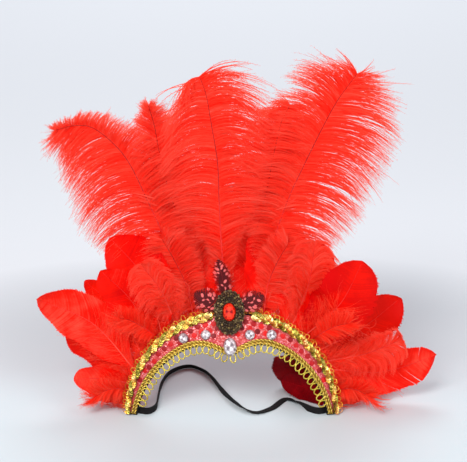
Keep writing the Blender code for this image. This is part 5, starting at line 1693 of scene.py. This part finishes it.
def lay_strap():
    """Flat elastic along the same route as the part's: a rounded flat section carried along it,
    tilted by the table, always touching the ground."""
    table = np.array(STRAP_ROUTE)
    points = np.stack([table[:, 0], table[:, 1], np.zeros(len(table))], 1) * ARCH_RADIUS
    count, sides = 260, 20
    dense = smooth_path(points, count)
    spacing = length_along(points)
    tilt = np.radians(np.interp(np.linspace(0, spacing[-1], count), spacing, table[:, 2]))
    tangent = slope_of(dense)
    up = np.array([0.0, 0.0, 1.0])
    side = unit(np.cross(tangent, up))
    wide = np.cos(tilt)[:, None] * up + np.sin(tilt)[:, None] * side
    thin = unit(np.cross(tangent, wide))
    lift = 0.5 * (STRAP_WIDTH * np.cos(tilt) + STRAP_THICKNESS * np.abs(np.sin(tilt)))
    centre = dense + (lift + FOOT_CLEARANCE)[:, None] * up
    x, y = (0.5 * size * np.sign(wave) * np.abs(wave) ** 0.35
            for size, wave in ((STRAP_WIDTH, np.cos(corner_angles(sides))),
                               (STRAP_THICKNESS, np.sin(corner_angles(sides)))))
    rings = centre[:, None] + x[:, None] * wide[:, None] + y[:, None] * thin[:, None]
    make_piece("elastic_strap", ELASTIC, "elastic",
               (rings, [grid_faces(count, sides, wrap=True), end_caps(count, sides)],
                paired(length_along(dense)[:, None], x)), nodes=["strap"])


# Scene

# Camera: the photograph's width and focal length in pixels, and its place and tilt
PHOTO_WIDTH = 467
FOCAL_PIXELS = 1300
SENSOR_WIDTH = 36.0
CAMERA_PLACE = (0.0015, -1.1800, 0.5753)
CAMERA_TILT = 72.0
# Soft lamps: place, aim, size, power and colour
LAMPS = (
    ("key", (-0.7, -1.5, 1.6), (0, 0, 0.15), 0.9, 35.5, (1.0, 0.985, 0.965)),
    ("fill", (1.3, -1.2, 0.9), (0, 0, 0.15), 1.1, 14.0, (0.97, 0.98, 1.0)),
    ("far", (0.0, 3.6, 4.0), (0, 3.4, 0), 3.0, 118.0, (0.97, 0.98, 1.0)),
)
SKY_COLOUR = (0.93, 0.95, 1.0, 1.0)
SKY_STRENGTH = 0.50


def set_camera():
    """The photograph's viewpoint: in front, about 1.25 m away, looking down by 18 degrees."""
    data = bpy.data.cameras.new("camera")
    data.sensor_width = SENSOR_WIDTH
    data.lens = FOCAL_PIXELS * SENSOR_WIDTH / PHOTO_WIDTH
    data.clip_start = 0.05
    data.clip_end = 60.0
    camera = add_object("camera", data)
    camera.location = SHIFT + np.array(CAMERA_PLACE)
    camera.rotation_euler = (math.radians(CAMERA_TILT), 0.0, 0.0)
    bpy.context.scene.camera = camera


def area_light(name, place, aim, size, power, colour):
    """A square soft light aimed at a point."""
    data = bpy.data.lights.new(name, "AREA")
    data.shape = "SQUARE"
    data.size = size
    data.energy = power
    data.color = colour
    light = add_object(name, data)
    light.location = place
    light.rotation_mode = "QUATERNION"
    light.rotation_quaternion = (Vector(place) - Vector(aim)).to_track_quat("Z", "Y")


def set_stage():
    """Pale floor, soft sky and three soft lamps, shown with plain sRGB colours."""
    bpy.context.scene.view_settings.view_transform = "Standard"
    mesh = fill("floor", np.array([(-9, -9, 0), (9, -9, 0), (9, 14, 0), (-9, 14, 0)], float),
                [np.array([[0, 1, 2, 3]])])
    mesh.materials.append(floor_painted_shade_finish())
    floor = add_object("floor", mesh)
    world = bpy.data.worlds.new("studio")
    world.use_nodes = True
    sky = world.node_tree.nodes["Background"]
    sky.inputs["Color"].default_value = SKY_COLOUR
    sky.inputs["Strength"].default_value = SKY_STRENGTH
    bpy.context.scene.world = world
    for lamp in LAMPS:
        area_light(*lamp)


set_camera()
set_stage()
NODES["band_base"].data.materials[0] = FELT
NODES["brooch_frame"].data.materials[0] = BACKING
lay_cover()
lay_dots()
lay_lower_gimp()
lay_lower_loops()
lay_upper_loops()
lay_sequins(-1.0, "left")
lay_sequins(1.0, "right")
set_stones()
sew_beads()
grow_guinea()
grow_base_down()
grow_curls()
grow_lining()
for index, (plume_name, plume_row) in enumerate(PLUMES.items()):
    grow_plume(plume_name, plume_row, 100 + index)
for index, (feather_name, feather_leaf) in enumerate(goose_leaves().items()):
    grow = grow_loose_feather if feather_name.endswith("_inner") else grow_goose
    grow(feather_name, feather_leaf, 200 + index)
lay_strap()
